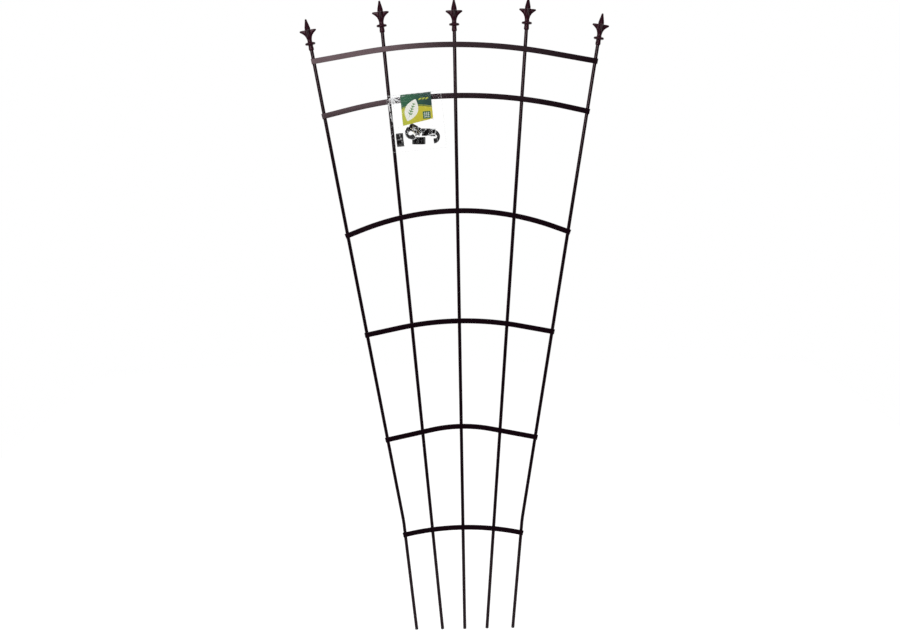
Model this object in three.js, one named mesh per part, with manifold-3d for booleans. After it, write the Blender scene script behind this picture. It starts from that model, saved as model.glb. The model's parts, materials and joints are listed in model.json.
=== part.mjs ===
// Fan-shaped garden trellis: five round steel uprights, six arched flat rails welded to
// their fronts, a spear finial on each upright, and the bag of wall fixings that hangs on it.
// Millimetres, +Z up, +X right, front faces -Y. The origin is under the middle upright's foot.

import * as THREE from 'three';
import { mergeVertices } from 'three/addons/utils/BufferGeometryUtils.js';
import Module from 'manifold-3d';

const wasm = await Module();
wasm.setup();

// Clearances
const seatGap = 0.3; // between pieces that are welded, pressed or resting together
const cutOverrun = 1; // how far a cutting shape runs past what it cuts

// Uprights: round steel tube
const tubeDiameter = 8;
const tubeWall = 1;
const tipHeight = 1500; // finial tips of the three inner uprights
const outerTipDrop = 36; // the two outer tips are lower by this
const innerFootSpread = 55; // from the middle to an inner upright's foot
const innerTipSpread = 163; // the same at its finial's tip
const outerFootSpread = 119;
const outerKneeSpread = 143.4; // where the outer uprights are bent inwards
const outerTipSpread = 325.5;
const kneeAboveRail = 15.5; // from the bottom rail's crown up to the knee
const kneeRadius = 300;

// Rails: flat steel bar, bent in its own plane and lapped over the front of the uprights
const barWidth = 12;
const barThickness = 3;
const topRailDrop = 96; // from the inner tips down to the top rail's crown
const topRailGap = 110; // from the top rail's crown down to the second rail's
const bottomRailHeight = 270.5; // the rails between are spread evenly
const topRailBend = 1220; // bend radii of the rails' middles
const topRailSkew = 1; // degrees that the top rail is welded askew, lower on the right
const secondRailBend = 1075;
const thirdRailBend = 620;
const fourthRailBend = 705;
const fifthRailBend = 335;
const bottomRailBend = 605;
const barEndMargin = 1; // bar beyond an outer upright's edge
const weldWidth = 2.6; // fillet beside the tube
const weldDepth = 3; // how far a fillet reaches back from the bar
const weldHeightShare = 0.8; // of the bar's width

// Foot plugs
const footPlug = { capHeight: 4, chamfer: 0.8, stemLength: 12 };

// Finials: one casting with a socket, a collar, four leaves and a spear
const finial = {
  length: 68,
  boreDepth: 11,
  socketDiameter: 11.4,
  socketLength: 12.2,
  mouthWall: 0.8,
  collarDiameter: 22.6,
  collarThickness: 5.4,
  neckDiameter: 10.4,
  neckHeight: 23,
  leafReach: 18.7, // from the axis to a leaf's point
  leafRimHeight: 44.3,
  leafTipThickness: 2.2,
  valleyRadius: 6.2, // where two leaves meet
  crownRise: 0.6, // of the leaves from their points to the spear
  spearWidth: 13,
  spearDepth: 9.2,
  spearRootWidth: 12.4,
  spearShoulderHeight: 47.4,
  spearPointWidth: 3,
  pointHeight: 1.2,
};

// Bag of wall fixings
const filmWall = 0.5;
const bagSeam = 1.4; // both films together along the sealed edges
const seamWidth = 3;
const bagTopRoom = 4; // bag above the hinge line
const bagSideRoom = 12.5;
const bagBottomRoom = 12;
const bagMouthDepth = 3; // outer depth of the bag at its top edge
const bagPastUpright = 10; // bag to the left of the upright's right edge
const cardWidth = 68;
const cardHeight = 72;
const cardRightHeight = 62; // its lower edge is cut on the slant
const cardThickness = 0.6;
const cardSideRoom = 28.5; // from the sealed edge's inner side to the card
const cardTopRoom = 1.4;
const cardOverPile = 10; // how far the card, laid flat, would reach down over the pile
const clipSpacing = 17.5; // between the low clips of the pile's back layer
const pieceGap = 1; // between pieces lying side by side

// Tie film round the rail
const bandWall = 0.8;
const bandLength = 18;

// Wall clips: half-round saddles that snap over the tube
const clip = { radius: 15, width: 16, wall: 2.4, cheek: 2, snapGap: 0.2, holeDiameter: 4 };

// Screws and wall plugs
const screw = { headDiameter: 7, headHeight: 2.4, shankDiameter: 3.6, length: 25, pointLength: 5 };
const wallPlug = { diameter: 5.6, length: 24, boreDiameter: 2.6, ribDepth: 0.5, boreDepth: 16, ribs: 3 };

// Faceting
const tubeSides = 16;
const kneeSteps = 4;
const arcSteps = 7; // in half of a rail's arc
const roundSides = 12;
const smallSides = 8;
const finialSides = 16;

const tubeRadius = tubeDiameter / 2;
const outerTipHeight = tipHeight - outerTipDrop;
const outerKneeHeight = bottomRailHeight + kneeAboveRail;
const secondRailHeight = tipHeight - topRailDrop - topRailGap;
const lowerSpaces = 4; // from the second rail down to the bottom one
const lowerRailHeight = (share) => secondRailHeight + (bottomRailHeight - secondRailHeight) * share;

const rails = [
  {
    name: 'rail_1',
    crown: secondRailHeight + topRailGap,
    bendRadius: topRailBend,
    endDegrees: 9.9,
    skewDegrees: topRailSkew,
  },
  { name: 'rail_2', crown: secondRailHeight, bendRadius: secondRailBend, endDegrees: 13.1 },
  { name: 'rail_3', crown: lowerRailHeight(1 / lowerSpaces), bendRadius: thirdRailBend, endDegrees: 20.7 },
  { name: 'rail_4', crown: lowerRailHeight(2 / lowerSpaces), bendRadius: fourthRailBend, endDegrees: 11.5 },
  { name: 'rail_5', crown: lowerRailHeight(3 / lowerSpaces), bendRadius: fifthRailBend, endDegrees: 12.1 },
  { name: 'rail_6', crown: bottomRailHeight, bendRadius: bottomRailBend, endDegrees: 12.6 },
];

const barBack = -(tubeRadius + seatGap);
const barFront = barBack - barThickness;

const steel = new THREE.MeshStandardMaterial({ color: 0x2b1a1f, roughness: 0.42, metalness: 0.35 });
const railSteel = new THREE.MeshStandardMaterial({ color: 0x35232a, roughness: 0.45, metalness: 0.35 });
const casting = new THREE.MeshStandardMaterial({ color: 0x2a161d, roughness: 0.48, metalness: 0.3 });
const blackPlastic = new THREE.MeshStandardMaterial({ color: 0x0c0a0b, roughness: 0.5, metalness: 0 });
const clipPlastic = new THREE.MeshStandardMaterial({ color: 0x120d12, roughness: 0.3, metalness: 0 });
const clearFilm = new THREE.MeshStandardMaterial({
  color: 0xe9edf0,
  roughness: 0.15,
  metalness: 0,
  transparent: true,
  opacity: 0.35,
});
const printedCard = new THREE.MeshStandardMaterial({ color: 0x2c6b3e, roughness: 0.6, metalness: 0 });
const zinc = new THREE.MeshStandardMaterial({ color: 0xb9b6ab, roughness: 0.35, metalness: 0.9 });
const tanPlastic = new THREE.MeshStandardMaterial({ color: 0x9a7a44, roughness: 0.55, metalness: 0 });

const trellis = new THREE.Group();

// A closed geometry as a solid that can be joined and cut
function toSolid(geometry) {
  const bare = geometry.index ? geometry.toNonIndexed() : geometry.clone();
  bare.deleteAttribute('normal');
  bare.deleteAttribute('uv');
  const merged = mergeVertices(bare);
  return new wasm.Manifold(new wasm.Mesh({
    numProp: 3,
    vertProperties: new Float32Array(merged.attributes.position.array),
    triVerts: new Uint32Array(merged.index.array),
  }));
}

function toGeometry(solid) {
  const mesh = solid.getMesh();
  const geometry = new THREE.BufferGeometry();
  geometry.setAttribute('position', new THREE.BufferAttribute(new Float32Array(mesh.vertProperties), 3));
  geometry.setIndex(new THREE.BufferAttribute(new Uint32Array(mesh.triVerts), 1));
  geometry.computeVertexNormals();
  return geometry;
}

function addMesh(parent, name, geometry, material) {
  const mesh = new THREE.Mesh(geometry, material);
  mesh.name = name;
  parent.add(mesh);
  return mesh;
}

// A closed skin over rings of points, from one end point to the other
function loftRings(rings, startPoint, endPoint) {
  const sides = rings[0].length;
  const points = [startPoint, ...rings.flat(), endPoint];
  const last = points.length - 1;
  const faces = [];
  const at = (ring, side) => 1 + ring * sides + (side % sides);
  for (let side = 0; side < sides; side += 1) {
    faces.push(0, at(0, side + 1), at(0, side));
    faces.push(last, at(rings.length - 1, side), at(rings.length - 1, side + 1));
    for (let ring = 0; ring + 1 < rings.length; ring += 1) {
      faces.push(at(ring, side), at(ring, side + 1), at(ring + 1, side + 1));
      faces.push(at(ring, side), at(ring + 1, side + 1), at(ring + 1, side));
    }
  }
  const geometry = new THREE.BufferGeometry().setFromPoints(points);
  geometry.setIndex(faces);
  geometry.computeVertexNormals();
  return geometry;
}

// A ring of points round the Z axis, whose radius may change with the angle
function ringAt(height, radiusAt, sides) {
  const ring = [];
  for (let side = 0; side < sides; side += 1) {
    const angle = (2 * Math.PI * side) / sides;
    const radius = radiusAt(angle);
    ring.push(new THREE.Vector3(radius * Math.cos(angle), radius * Math.sin(angle), height));
  }
  return ring;
}

// A turned solid about the Z axis from [radius, height] points that start and end on the axis
function turned(profile, sides) {
  const rings = profile.slice(1, -1).map(([radius, height]) => ringAt(height, () => radius, sides));
  const [, startHeight] = profile[0];
  const [, endHeight] = profile[profile.length - 1];
  return loftRings(rings, new THREE.Vector3(0, 0, startHeight), new THREE.Vector3(0, 0, endHeight));
}

// Uprights, from left to right. An inner upright is straight; an outer one has a knee.
const inner = { foot: innerFootSpread, tip: innerTipSpread, tipZ: tipHeight };
const outer = {
  foot: outerFootSpread,
  tip: outerTipSpread,
  tipZ: outerTipHeight,
  knee: new THREE.Vector2(outerKneeSpread, outerKneeHeight),
};
const middle = { foot: 0, tip: 0, tipZ: tipHeight };

const uprights = [
  { number: 1, side: -1, line: outer },
  { number: 2, side: -1, line: inner },
  { number: 3, side: 1, line: middle },
  { number: 4, side: 1, line: inner },
  { number: 5, side: 1, line: outer },
];

// The centre line as corner points in the XZ plane, from the ground to the tip
function cornerPoints({ side, line }) {
  const corners = [new THREE.Vector2(side * line.foot, 0)];
  if (line.knee) {
    corners.push(new THREE.Vector2(side * line.knee.x, line.knee.y));
  }
  corners.push(new THREE.Vector2(side * line.tip, line.tipZ));
  return corners;
}

// Centre of an upright at a height, ignoring the small radius at a knee
function uprightCentre(upright, height) {
  const corners = cornerPoints(upright);
  const above = corners[1].y > height || corners.length === 2 ? 1 : 2;
  const low = corners[above - 1];
  const high = corners[above];
  return low.x + ((high.x - low.x) * (height - low.y)) / (high.y - low.y);
}

// Lean from the vertical, in radians towards +X, at a height
function uprightLean(upright, height) {
  const corners = cornerPoints(upright);
  const above = corners[1].y > height || corners.length === 2 ? 1 : 2;
  return Math.atan2(corners[above].x - corners[above - 1].x, corners[above].y - corners[above - 1].y);
}

// A path whose rings lie only at its ends and round its bend
class StationPath extends THREE.Curve {
  constructor(stations) {
    super();
    this.stations = stations;
  }

  getPoint(share, target = new THREE.Vector3()) {
    const place = share * (this.stations.length - 1);
    const index = Math.min(Math.floor(place), this.stations.length - 2);
    return target.lerpVectors(this.stations[index], this.stations[index + 1], place - index);
  }

  getPointAt(share, target) {
    return this.getPoint(share, target);
  }

  getTangentAt(share, target) {
    return this.getTangent(share, target);
  }
}

// The centre line's stations: both ends of the tube, and an arc at the knee
function tubeStations(upright, footHeight, topHeight) {
  const corners = cornerPoints(upright);
  const end = (height) => new THREE.Vector3(uprightCentre(upright, height), 0, height);
  const stations = [end(footHeight)];
  if (corners.length === 3) {
    const knee = corners[1];
    const down = corners[0].clone().sub(knee).normalize();
    const up = corners[2].clone().sub(knee).normalize();
    const reach = kneeRadius * Math.tan((Math.PI - down.angleTo(up)) / 2);
    const arc = new THREE.QuadraticBezierCurve(
      knee.clone().addScaledVector(down, reach),
      knee,
      knee.clone().addScaledVector(up, reach),
    );
    arc.getPoints(kneeSteps).forEach((point) => stations.push(new THREE.Vector3(point.x, 0, point.y)));
  }
  stations.push(end(topHeight));
  return stations;
}

// Heights of an upright's pieces along its own axis
function uprightHeights(upright) {
  const footLean = uprightLean(upright, 0);
  const topLean = uprightLean(upright, upright.line.tipZ);
  const plugBottom = tubeRadius * Math.sin(Math.abs(footLean));
  const socketMouth = upright.line.tipZ - finial.length * Math.cos(topLean);
  return {
    footLean,
    topLean,
    plugBottom,
    tubeBottom: plugBottom + (footPlug.capHeight + seatGap) * Math.cos(footLean),
    socketMouth,
    tubeTop: socketMouth + (finial.boreDepth - seatGap) * Math.cos(topLean),
  };
}

function tubeGeometry(upright, heights) {
  const section = new THREE.Shape();
  section.absarc(0, 0, tubeRadius, 0, 2 * Math.PI, false);
  const bore = new THREE.Path();
  bore.absarc(0, 0, tubeRadius - tubeWall, 0, 2 * Math.PI, true);
  section.holes.push(bore);
  const stations = tubeStations(upright, heights.tubeBottom, heights.tubeTop);
  return new THREE.ExtrudeGeometry(section, {
    steps: stations.length - 1,
    curveSegments: tubeSides / 2,
    extrudePath: new StationPath(stations),
  });
}

// The plug's cap closes the tube's end and its stem sits in the bore
function footPlugGeometry() {
  const stemRadius = tubeRadius - tubeWall - seatGap;
  return turned([
    [0, 0],
    [tubeRadius - footPlug.chamfer, 0],
    [tubeRadius, footPlug.chamfer],
    [tubeRadius, footPlug.capHeight],
    [stemRadius, footPlug.capHeight],
    [stemRadius, footPlug.capHeight + footPlug.stemLength],
    [0, footPlug.capHeight + footPlug.stemLength],
  ], roundSides);
}

// Leaf outline round the axis: four points with valleys between
const leafSharpness = 3;
function leafRing(height, reach, valley) {
  const fullness = (angle) => Math.max(0, Math.cos(2 * foldAngle(angle))) ** leafSharpness;
  return ringAt(height, (angle) => valley + (reach - valley) * fullness(angle), finialSides);
}

// An angle folded into the nearest leaf's own sector, from 0 to an eighth of a turn
function foldAngle(angle) {
  const quarter = Math.PI / 2;
  const inQuarter = ((angle % quarter) + quarter) % quarter;
  return Math.min(inQuarter, quarter - inQuarter);
}

function spearRing(height, width, depth) {
  const across = (angle) => Math.abs(Math.cos(angle)) / (width / 2);
  const along = (angle) => Math.abs(Math.sin(angle)) / (depth / 2);
  return ringAt(height, (angle) => 1 / (across(angle) + along(angle)), finialSides);
}

// Shares of the keel from the neck to the leaf's point: [height, reach]
const keelShares = [[0.3, 0.1], [0.55, 0.27], [0.78, 0.58], [0.93, 0.85]];
// Shares of the spear from its shoulder to its point: [height, width]
const spearShares = [[0.3, 0.82], [0.62, 0.55], [0.86, 0.34]];

function finialGeometry() {
  const f = finial;
  const boreRadius = tubeRadius + seatGap;
  const socketRadius = f.socketDiameter / 2;
  const neckRadius = f.neckDiameter / 2;
  const collarRadius = f.collarDiameter / 2;
  const collarMiddle = f.socketLength + f.collarThickness / 2;
  const round = (height, radius) => ringAt(height, () => radius, finialSides);
  const keelRise = f.leafRimHeight - f.leafTipThickness - f.neckHeight;
  const spearRise = f.length - f.spearShoulderHeight;
  const spearRatio = f.spearDepth / f.spearWidth;
  const rings = [
    round(f.boreDepth, boreRadius),
    round(0, boreRadius),
    round(0, boreRadius + f.mouthWall),
    round(f.socketLength / 4, socketRadius),
    round(f.socketLength / 2, socketRadius),
    round(f.socketLength, neckRadius),
    round(collarMiddle - f.collarThickness / 4, collarRadius - f.collarThickness / 4),
    round(collarMiddle, collarRadius),
    round(collarMiddle + f.collarThickness / 4, collarRadius - f.collarThickness / 4),
    round(f.socketLength + f.collarThickness, neckRadius),
    round(f.neckHeight, neckRadius),
  ];
  keelShares.forEach(([heightShare, reachShare]) => {
    const reach = neckRadius + (f.leafReach - neckRadius) * reachShare;
    const valley = neckRadius + (f.valleyRadius - neckRadius) * heightShare;
    rings.push(leafRing(f.neckHeight + keelRise * heightShare, reach, valley));
  });
  rings.push(leafRing(f.leafRimHeight - f.leafTipThickness, f.leafReach, f.valleyRadius));
  rings.push(leafRing(f.leafRimHeight, f.leafReach - f.leafTipThickness / 2, f.valleyRadius));
  rings.push(spearRing(f.leafRimHeight + f.crownRise, f.spearRootWidth, f.spearRootWidth * spearRatio));
  rings.push(spearRing(f.spearShoulderHeight, f.spearWidth, f.spearDepth));
  spearShares.forEach(([heightShare, widthShare]) => {
    const width = f.spearWidth * widthShare;
    rings.push(spearRing(f.spearShoulderHeight + spearRise * heightShare, width, width * spearRatio));
  });
  rings.push(spearRing(f.length - f.pointHeight / 2, f.spearPointWidth, f.spearPointWidth * spearRatio));
  return loftRings(rings, new THREE.Vector3(0, 0, f.boreDepth), new THREE.Vector3(0, 0, f.length));
}

uprights.forEach((upright) => {
  const heights = uprightHeights(upright);
  addMesh(trellis, `upright_${upright.number}`, tubeGeometry(upright, heights), steel);

  const plug = addMesh(trellis, `foot_plug_${upright.number}`, footPlugGeometry(), blackPlastic);
  plug.position.set(uprightCentre(upright, heights.plugBottom), 0, heights.plugBottom);
  plug.rotation.y = heights.footLean;

  const point = addMesh(trellis, `finial_${upright.number}`, finialGeometry(), casting);
  point.position.set(uprightCentre(upright, heights.socketMouth), 0, heights.socketMouth);
  point.rotation.y = heights.topLean;
});

// A rail's centre line at a distance from the middle: an arc with straight ends.
// Its tilt is positive where it falls to the right.
function railLine(rail, distance) {
  const endAngle = THREE.MathUtils.degToRad(rail.endDegrees);
  const skew = THREE.MathUtils.degToRad(rail.skewDegrees ?? 0);
  const reach = Math.abs(distance);
  const arcReach = rail.bendRadius * Math.sin(endAngle);
  const angle = Math.asin(Math.min(reach, arcReach) / rail.bendRadius);
  const arcDrop = rail.bendRadius * (1 - Math.cos(angle));
  const endDrop = Math.max(0, reach - arcReach) * Math.tan(endAngle);
  return {
    tilt: Math.sign(distance) * angle + skew,
    height: rail.crown - arcDrop - endDrop - distance * Math.tan(skew),
  };
}

const crossingRounds = 8;

// Where a rail crosses an upright; each round of the loop brings it closer
function crossing(rail, upright) {
  let x = uprightCentre(upright, rail.crown);
  for (let round = 0; round < crossingRounds; round += 1) {
    x = uprightCentre(upright, railLine(rail, x).height);
  }
  const { height, tilt } = railLine(rail, x);
  return { x, height, tilt, lean: uprightLean(upright, height) };
}

// Flat bar in the XZ plane: upper edge from left to right, lower edge back
function barShape(rail) {
  const [leftEnd, rightEnd] = [uprights[0], uprights[4]].map((upright) => {
    const { x, tilt } = crossing(rail, upright);
    return x + Math.sign(x) * (tubeRadius + barEndMargin) * Math.cos(tilt);
  });
  const endReach = Math.min(-leftEnd, rightEnd);
  const endAngle = THREE.MathUtils.degToRad(rail.endDegrees);
  const arcAngle = Math.min(endAngle, Math.asin(Math.min(1, endReach / rail.bendRadius)));
  const reaches = [];
  for (let step = -arcSteps; step <= arcSteps; step += 1) {
    reaches.push(rail.bendRadius * Math.sin((arcAngle * step) / arcSteps));
  }
  if (endReach > rail.bendRadius * Math.sin(endAngle)) {
    reaches.unshift(leftEnd);
    reaches.push(rightEnd);
  }
  const edge = (offset) => reaches.map((reach) => {
    const { height, tilt } = railLine(rail, reach);
    return new THREE.Vector2(reach + offset * Math.sin(tilt), height + offset * Math.cos(tilt));
  });
  return new THREE.Shape([...edge(barWidth / 2), ...edge(-barWidth / 2).reverse()]);
}

// Extruded along X, a shape in the XZ plane is thickened towards the front
function frontExtrusion(shape, thickness) {
  const geometry = new THREE.ExtrudeGeometry(shape, { depth: thickness, bevelEnabled: false });
  geometry.rotateX(Math.PI / 2);
  return geometry;
}

// A fillet on each side of the tube, behind the bar, cut to the tube's round
function weldSolid(rail, upright) {
  const { x, height, tilt, lean } = crossing(rail, upright);
  const blockDepth = weldDepth + barThickness / 2; // from inside the bar to behind it
  const block = new THREE.BoxGeometry(tubeDiameter + 2 * weldWidth, blockDepth, barWidth * weldHeightShare);
  block.translate(0, barBack - barThickness / 2 + blockDepth / 2, 0);
  block.rotateY(tilt);
  block.translate(x, 0, height);
  const cutRadius = tubeRadius + seatGap;
  const round = new THREE.CylinderGeometry(cutRadius, cutRadius, 2 * barWidth, tubeSides);
  round.rotateX(Math.PI / 2);
  round.rotateY(lean);
  round.translate(x, 0, height);
  return toSolid(block).subtract(toSolid(round));
}

rails.forEach((rail) => {
  const bar = frontExtrusion(barShape(rail), barThickness);
  bar.translate(0, barBack, 0);
  let solid = toSolid(bar);
  uprights.forEach((upright) => {
    solid = solid.add(weldSolid(rail, upright));
  });
  addMesh(trellis, rail.name, toGeometry(solid), railSteel);
});

// The bag hangs on the second rail, beside the second upright, in line with the rail there
const hangingRail = rails[1];
const bandFront = barFront - seatGap - bandWall;
const hangingCross = crossing(hangingRail, uprights[1]);

// Half of a turned rectangle's reach along each axis
function halfReach(length, width, degrees) {
  const angle = THREE.MathUtils.degToRad(degrees);
  const across = Math.abs(Math.cos(angle));
  const along = Math.abs(Math.sin(angle));
  return { x: (length * across + width * along) / 2, z: (length * along + width * across) / 2 };
}

// The pile of clips in two layers. Behind lie a row of three and one on top of them; in front,
// two clips lie over the gaps in that row. showing is what faces the front: the round back,
// the hollow, or an end.
const lowRow = [
  { degrees: 90, showing: 'back' },
  { degrees: -6, showing: 'back' },
  { degrees: -90, showing: 'end' },
];
const topClip = { degrees: -36, showing: 'hollow', towardsLeft: 0.11 };
const frontRow = [
  { degrees: 120, showing: 'end', towardsRight: 0.54 },
  { degrees: -8, showing: 'hollow', towardsRight: 0.6 },
];
const frontRowLift = 0.55; // of the way up from the lone clip's middle to the top one's
const clipChord = 2 * clip.radius;
[...lowRow, topClip, ...frontRow].forEach((place) => {
  place.span = halfReach(clipChord, place.showing === 'end' ? clip.radius : clip.width, place.degrees);
});

let rowEnd = bagSideRoom;
lowRow.forEach((place) => {
  place.x = rowEnd + place.span.x;
  place.rise = place.span.z;
  rowEnd = place.x + place.span.x + clipSpacing;
});
const bagWidth = rowEnd - clipSpacing + bagSideRoom;
topClip.x = THREE.MathUtils.lerp(lowRow[1].x, lowRow[0].x, topClip.towardsLeft);
topClip.rise = 2 * lowRow[1].rise + pieceGap + topClip.span.z;
frontRow.forEach((place, index) => {
  place.x = THREE.MathUtils.lerp(lowRow[index].x, lowRow[index + 1].x, place.towardsRight);
  place.rise = THREE.MathUtils.lerp(lowRow[0].rise, topClip.rise, frontRowLift);
});
const pileHeight = topClip.rise + topClip.span.z;

// Heights in the bag are counted down from the hinge line
const cardBottom = cardHeight + cardTopRoom - bagTopRoom;
const pileBottom = cardBottom - cardOverPile + pileHeight;
const bagBottom = pileBottom + bagBottomRoom;
const frontRowTop = pileBottom - Math.max(...frontRow.map((place) => place.rise + place.span.z));
const fullDepthFrom = Math.min(cardBottom, frontRowTop); // the bag has its full depth below this
const clipLayer = Math.max(clip.radius, clip.width);
const stickLayer = Math.max(screw.headDiameter, wallPlug.diameter);
const bagDepth = 2 * clipLayer + 2 * filmWall + 4 * seatGap;

const bagRoundness = 8;
const sideFill = (x) => 1 - Math.abs((2 * x) / bagWidth - 1) ** bagRoundness;

function heightFill(down) {
  if (down < fullDepthFrom) {
    const share = (down + bagTopRoom) / (fullDepthFrom + bagTopRoom);
    return (bagMouthDepth + (bagDepth - bagMouthDepth) * share) / bagDepth;
  }
  return 1 - ((down - fullDepthFrom) / (bagBottom - fullDepthFrom)) ** bagRoundness;
}

// Outer depth of the bag at a place across and down it
function bagDepthAt(x, down) {
  return bagSeam + (bagDepth - bagSeam) * Math.max(0, sideFill(x)) * Math.max(0, heightFill(down));
}

// Places across or down the bag, closer together near its sealed edges
const gridShares = [0, 0.03, 0.08, 0.16, 0.3, 0.5, 0.7, 0.84, 0.92, 0.97, 1];
const downShares = [0, 0.25, 0.5, 0.6, 0.7, 0.8, 0.88, 0.94, 0.98, 1];

// A pillow with a flat back in the plane y = back and a front that bulges towards -Y
function pillow(left, right, top, bottom, back, frontAt) {
  const columns = gridShares.map((share) => left + (right - left) * share);
  const rows = downShares.map((share) => top + (bottom - top) * share);
  const points = [];
  const faces = [];
  const width = columns.length;
  rows.forEach((down) => columns.forEach((x) => points.push(new THREE.Vector3(x, frontAt(x, down), -down))));
  const backStart = points.length;
  rows.forEach((down) => columns.forEach((x) => points.push(new THREE.Vector3(x, back, -down))));
  for (let row = 0; row + 1 < rows.length; row += 1) {
    for (let column = 0; column + 1 < width; column += 1) {
      const a = row * width + column;
      const b = a + 1;
      const c = a + width + 1;
      const d = a + width;
      faces.push(a, d, c, a, c, b);
      faces.push(backStart + a, backStart + c, backStart + d, backStart + a, backStart + b, backStart + c);
    }
  }
  const wall = (from, to) => faces.push(from, to, backStart + to, from, backStart + to, backStart + from);
  const lastRow = (rows.length - 1) * width;
  for (let column = 0; column + 1 < width; column += 1) {
    wall(column, column + 1);
    wall(lastRow + column + 1, lastRow + column);
  }
  for (let row = 0; row + 1 < rows.length; row += 1) {
    wall((row + 1) * width, row * width);
    wall(row * width + width - 1, (row + 1) * width + width - 1);
  }
  const geometry = new THREE.BufferGeometry().setFromPoints(points);
  geometry.setIndex(faces);
  return geometry;
}

function bagGeometry() {
  const outside = pillow(0, bagWidth, -bagTopRoom, bagBottom, 0, (x, down) => -bagDepthAt(x, down));
  const inside = pillow(
    seamWidth,
    bagWidth - seamWidth,
    -bagTopRoom - cutOverrun,
    bagBottom - seamWidth,
    -filmWall,
    (x, down) => filmWall - bagDepthAt(x, Math.max(down, -bagTopRoom)),
  );
  return toGeometry(toSolid(outside).subtract(toSolid(inside)));
}

// The bag's own frame: x along the rail from its left edge, z up from the hinge line
const hingeLift = bandWall + 2 * seatGap; // hinge line above the rail's upper edge
const bagMiddleX = hangingCross.x + tubeRadius - bagPastUpright + bagWidth / 2;
const bagSeat = railLine(hangingRail, bagMiddleX);
const bagTilt = bagSeat.tilt;
const hingeOffset = barWidth / 2 + hingeLift;
const hinge = new THREE.Vector3(
  bagMiddleX + hingeOffset * Math.sin(bagTilt),
  bandFront - seatGap,
  bagSeat.height + hingeOffset * Math.cos(bagTilt),
);

const fixingsPack = new THREE.Group();
fixingsPack.position.copy(hinge);
fixingsPack.rotation.y = bagTilt;
trellis.add(fixingsPack);

const packContents = new THREE.Group();
packContents.position.x = -bagWidth / 2;
fixingsPack.add(packContents);

addMesh(packContents, 'clear_bag', bagGeometry(), clearFilm);

// The card leans with the front film
const cardLeft = seamWidth + cardSideRoom;
const cardTopDown = cardTopRoom - bagTopRoom;
const cardEdge = Math.abs(cardLeft - bagWidth / 2) > Math.abs(cardLeft + cardWidth - bagWidth / 2)
  ? cardLeft
  : cardLeft + cardWidth;
const cardDepthAt = (down) => bagDepthAt(cardEdge, down) - filmWall - seatGap;
const cardLean = Math.atan2(cardDepthAt(cardBottom) - cardDepthAt(cardTopDown), cardBottom - cardTopDown);
const cardOutline = new THREE.Shape([
  new THREE.Vector2(0, 0),
  new THREE.Vector2(0, -cardHeight),
  new THREE.Vector2(cardWidth, -cardRightHeight),
  new THREE.Vector2(cardWidth, 0),
]);
const card = addMesh(packContents, 'header_card', frontExtrusion(cardOutline, cardThickness), printedCard);
card.position.set(cardLeft, cardThickness / Math.cos(cardLean) - cardDepthAt(cardTopDown), -cardTopDown);
card.rotation.x = -cardLean;

// A half-round clip: its chord along X, its axis along Y, its round back towards +Z
function clipGeometry() {
  const halfRound = (radius, length) => {
    const shape = new THREE.Shape();
    shape.absarc(0, 0, radius, 0, Math.PI, false);
    const geometry = new THREE.ExtrudeGeometry(shape, {
      depth: length,
      curveSegments: roundSides,
      bevelEnabled: false,
    });
    geometry.translate(0, 0, -length / 2);
    geometry.rotateX(Math.PI / 2);
    return geometry;
  };
  const hollow = halfRound(clip.radius - clip.wall, clip.width - 2 * clip.cheek);
  hollow.translate(0, 0, -clip.wall / 4);
  const snapRadius = tubeRadius + clip.snapGap;
  const slot = new THREE.Shape();
  slot.moveTo(-snapRadius, -cutOverrun);
  slot.lineTo(snapRadius, -cutOverrun);
  slot.lineTo(snapRadius, snapRadius);
  slot.absarc(0, snapRadius, snapRadius, 0, Math.PI, false);
  slot.closePath();
  const channel = new THREE.ExtrudeGeometry(slot, {
    depth: clip.width + 2 * cutOverrun,
    curveSegments: smallSides,
    bevelEnabled: false,
  });
  channel.translate(0, 0, -clip.width / 2 - cutOverrun);
  channel.rotateX(Math.PI / 2);
  const holeRadius = clip.holeDiameter / 2;
  const hole = new THREE.CylinderGeometry(holeRadius, holeRadius, clip.radius + 2 * cutOverrun, smallSides);
  hole.rotateX(Math.PI / 2);
  hole.translate(clip.radius / 2, 0, clip.radius / 2 + cutOverrun);
  return toGeometry(toSolid(halfRound(clip.radius, clip.width))
    .subtract(toSolid(hollow))
    .subtract(toSolid(channel))
    .subtract(toSolid(hole)));
}

// Which way a clip is turned before it is turned in the plane of the bag, and how far its
// origin then lies in front of its rear and behind its front
const clipFacings = {
  back: { turn: (geometry) => geometry.rotateX(Math.PI / 2), rear: 0, front: clip.radius },
  hollow: { turn: (geometry) => geometry.rotateX(-Math.PI / 2), rear: clip.radius, front: 0 },
  end: {
    turn: (geometry) => geometry.translate(0, 0, -clip.radius / 2),
    rear: clip.width / 2,
    front: clip.width / 2,
  },
};
const backDepth = filmWall + seatGap;

// Room behind the front film over the whole of a clip
function frontRoom(place) {
  const corners = [-1, 1].flatMap((side) => [-1, 1].map((end) => bagDepthAt(
    place.x + side * place.span.x,
    pileBottom - place.rise + end * place.span.z,
  )));
  return Math.min(...corners) - filmWall - seatGap;
}

[...lowRow, topClip, ...frontRow].forEach((place, index) => {
  const facing = clipFacings[place.showing];
  const geometry = clipGeometry();
  facing.turn(geometry);
  const mesh = addMesh(packContents, `wall_clip_${index + 1}`, geometry, clipPlastic);
  const depth = frontRow.includes(place) ? frontRoom(place) - facing.front : backDepth + facing.rear;
  mesh.position.set(place.x, -depth, place.rise - pileBottom);
  mesh.rotation.y = -THREE.MathUtils.degToRad(place.degrees);
});

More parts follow.
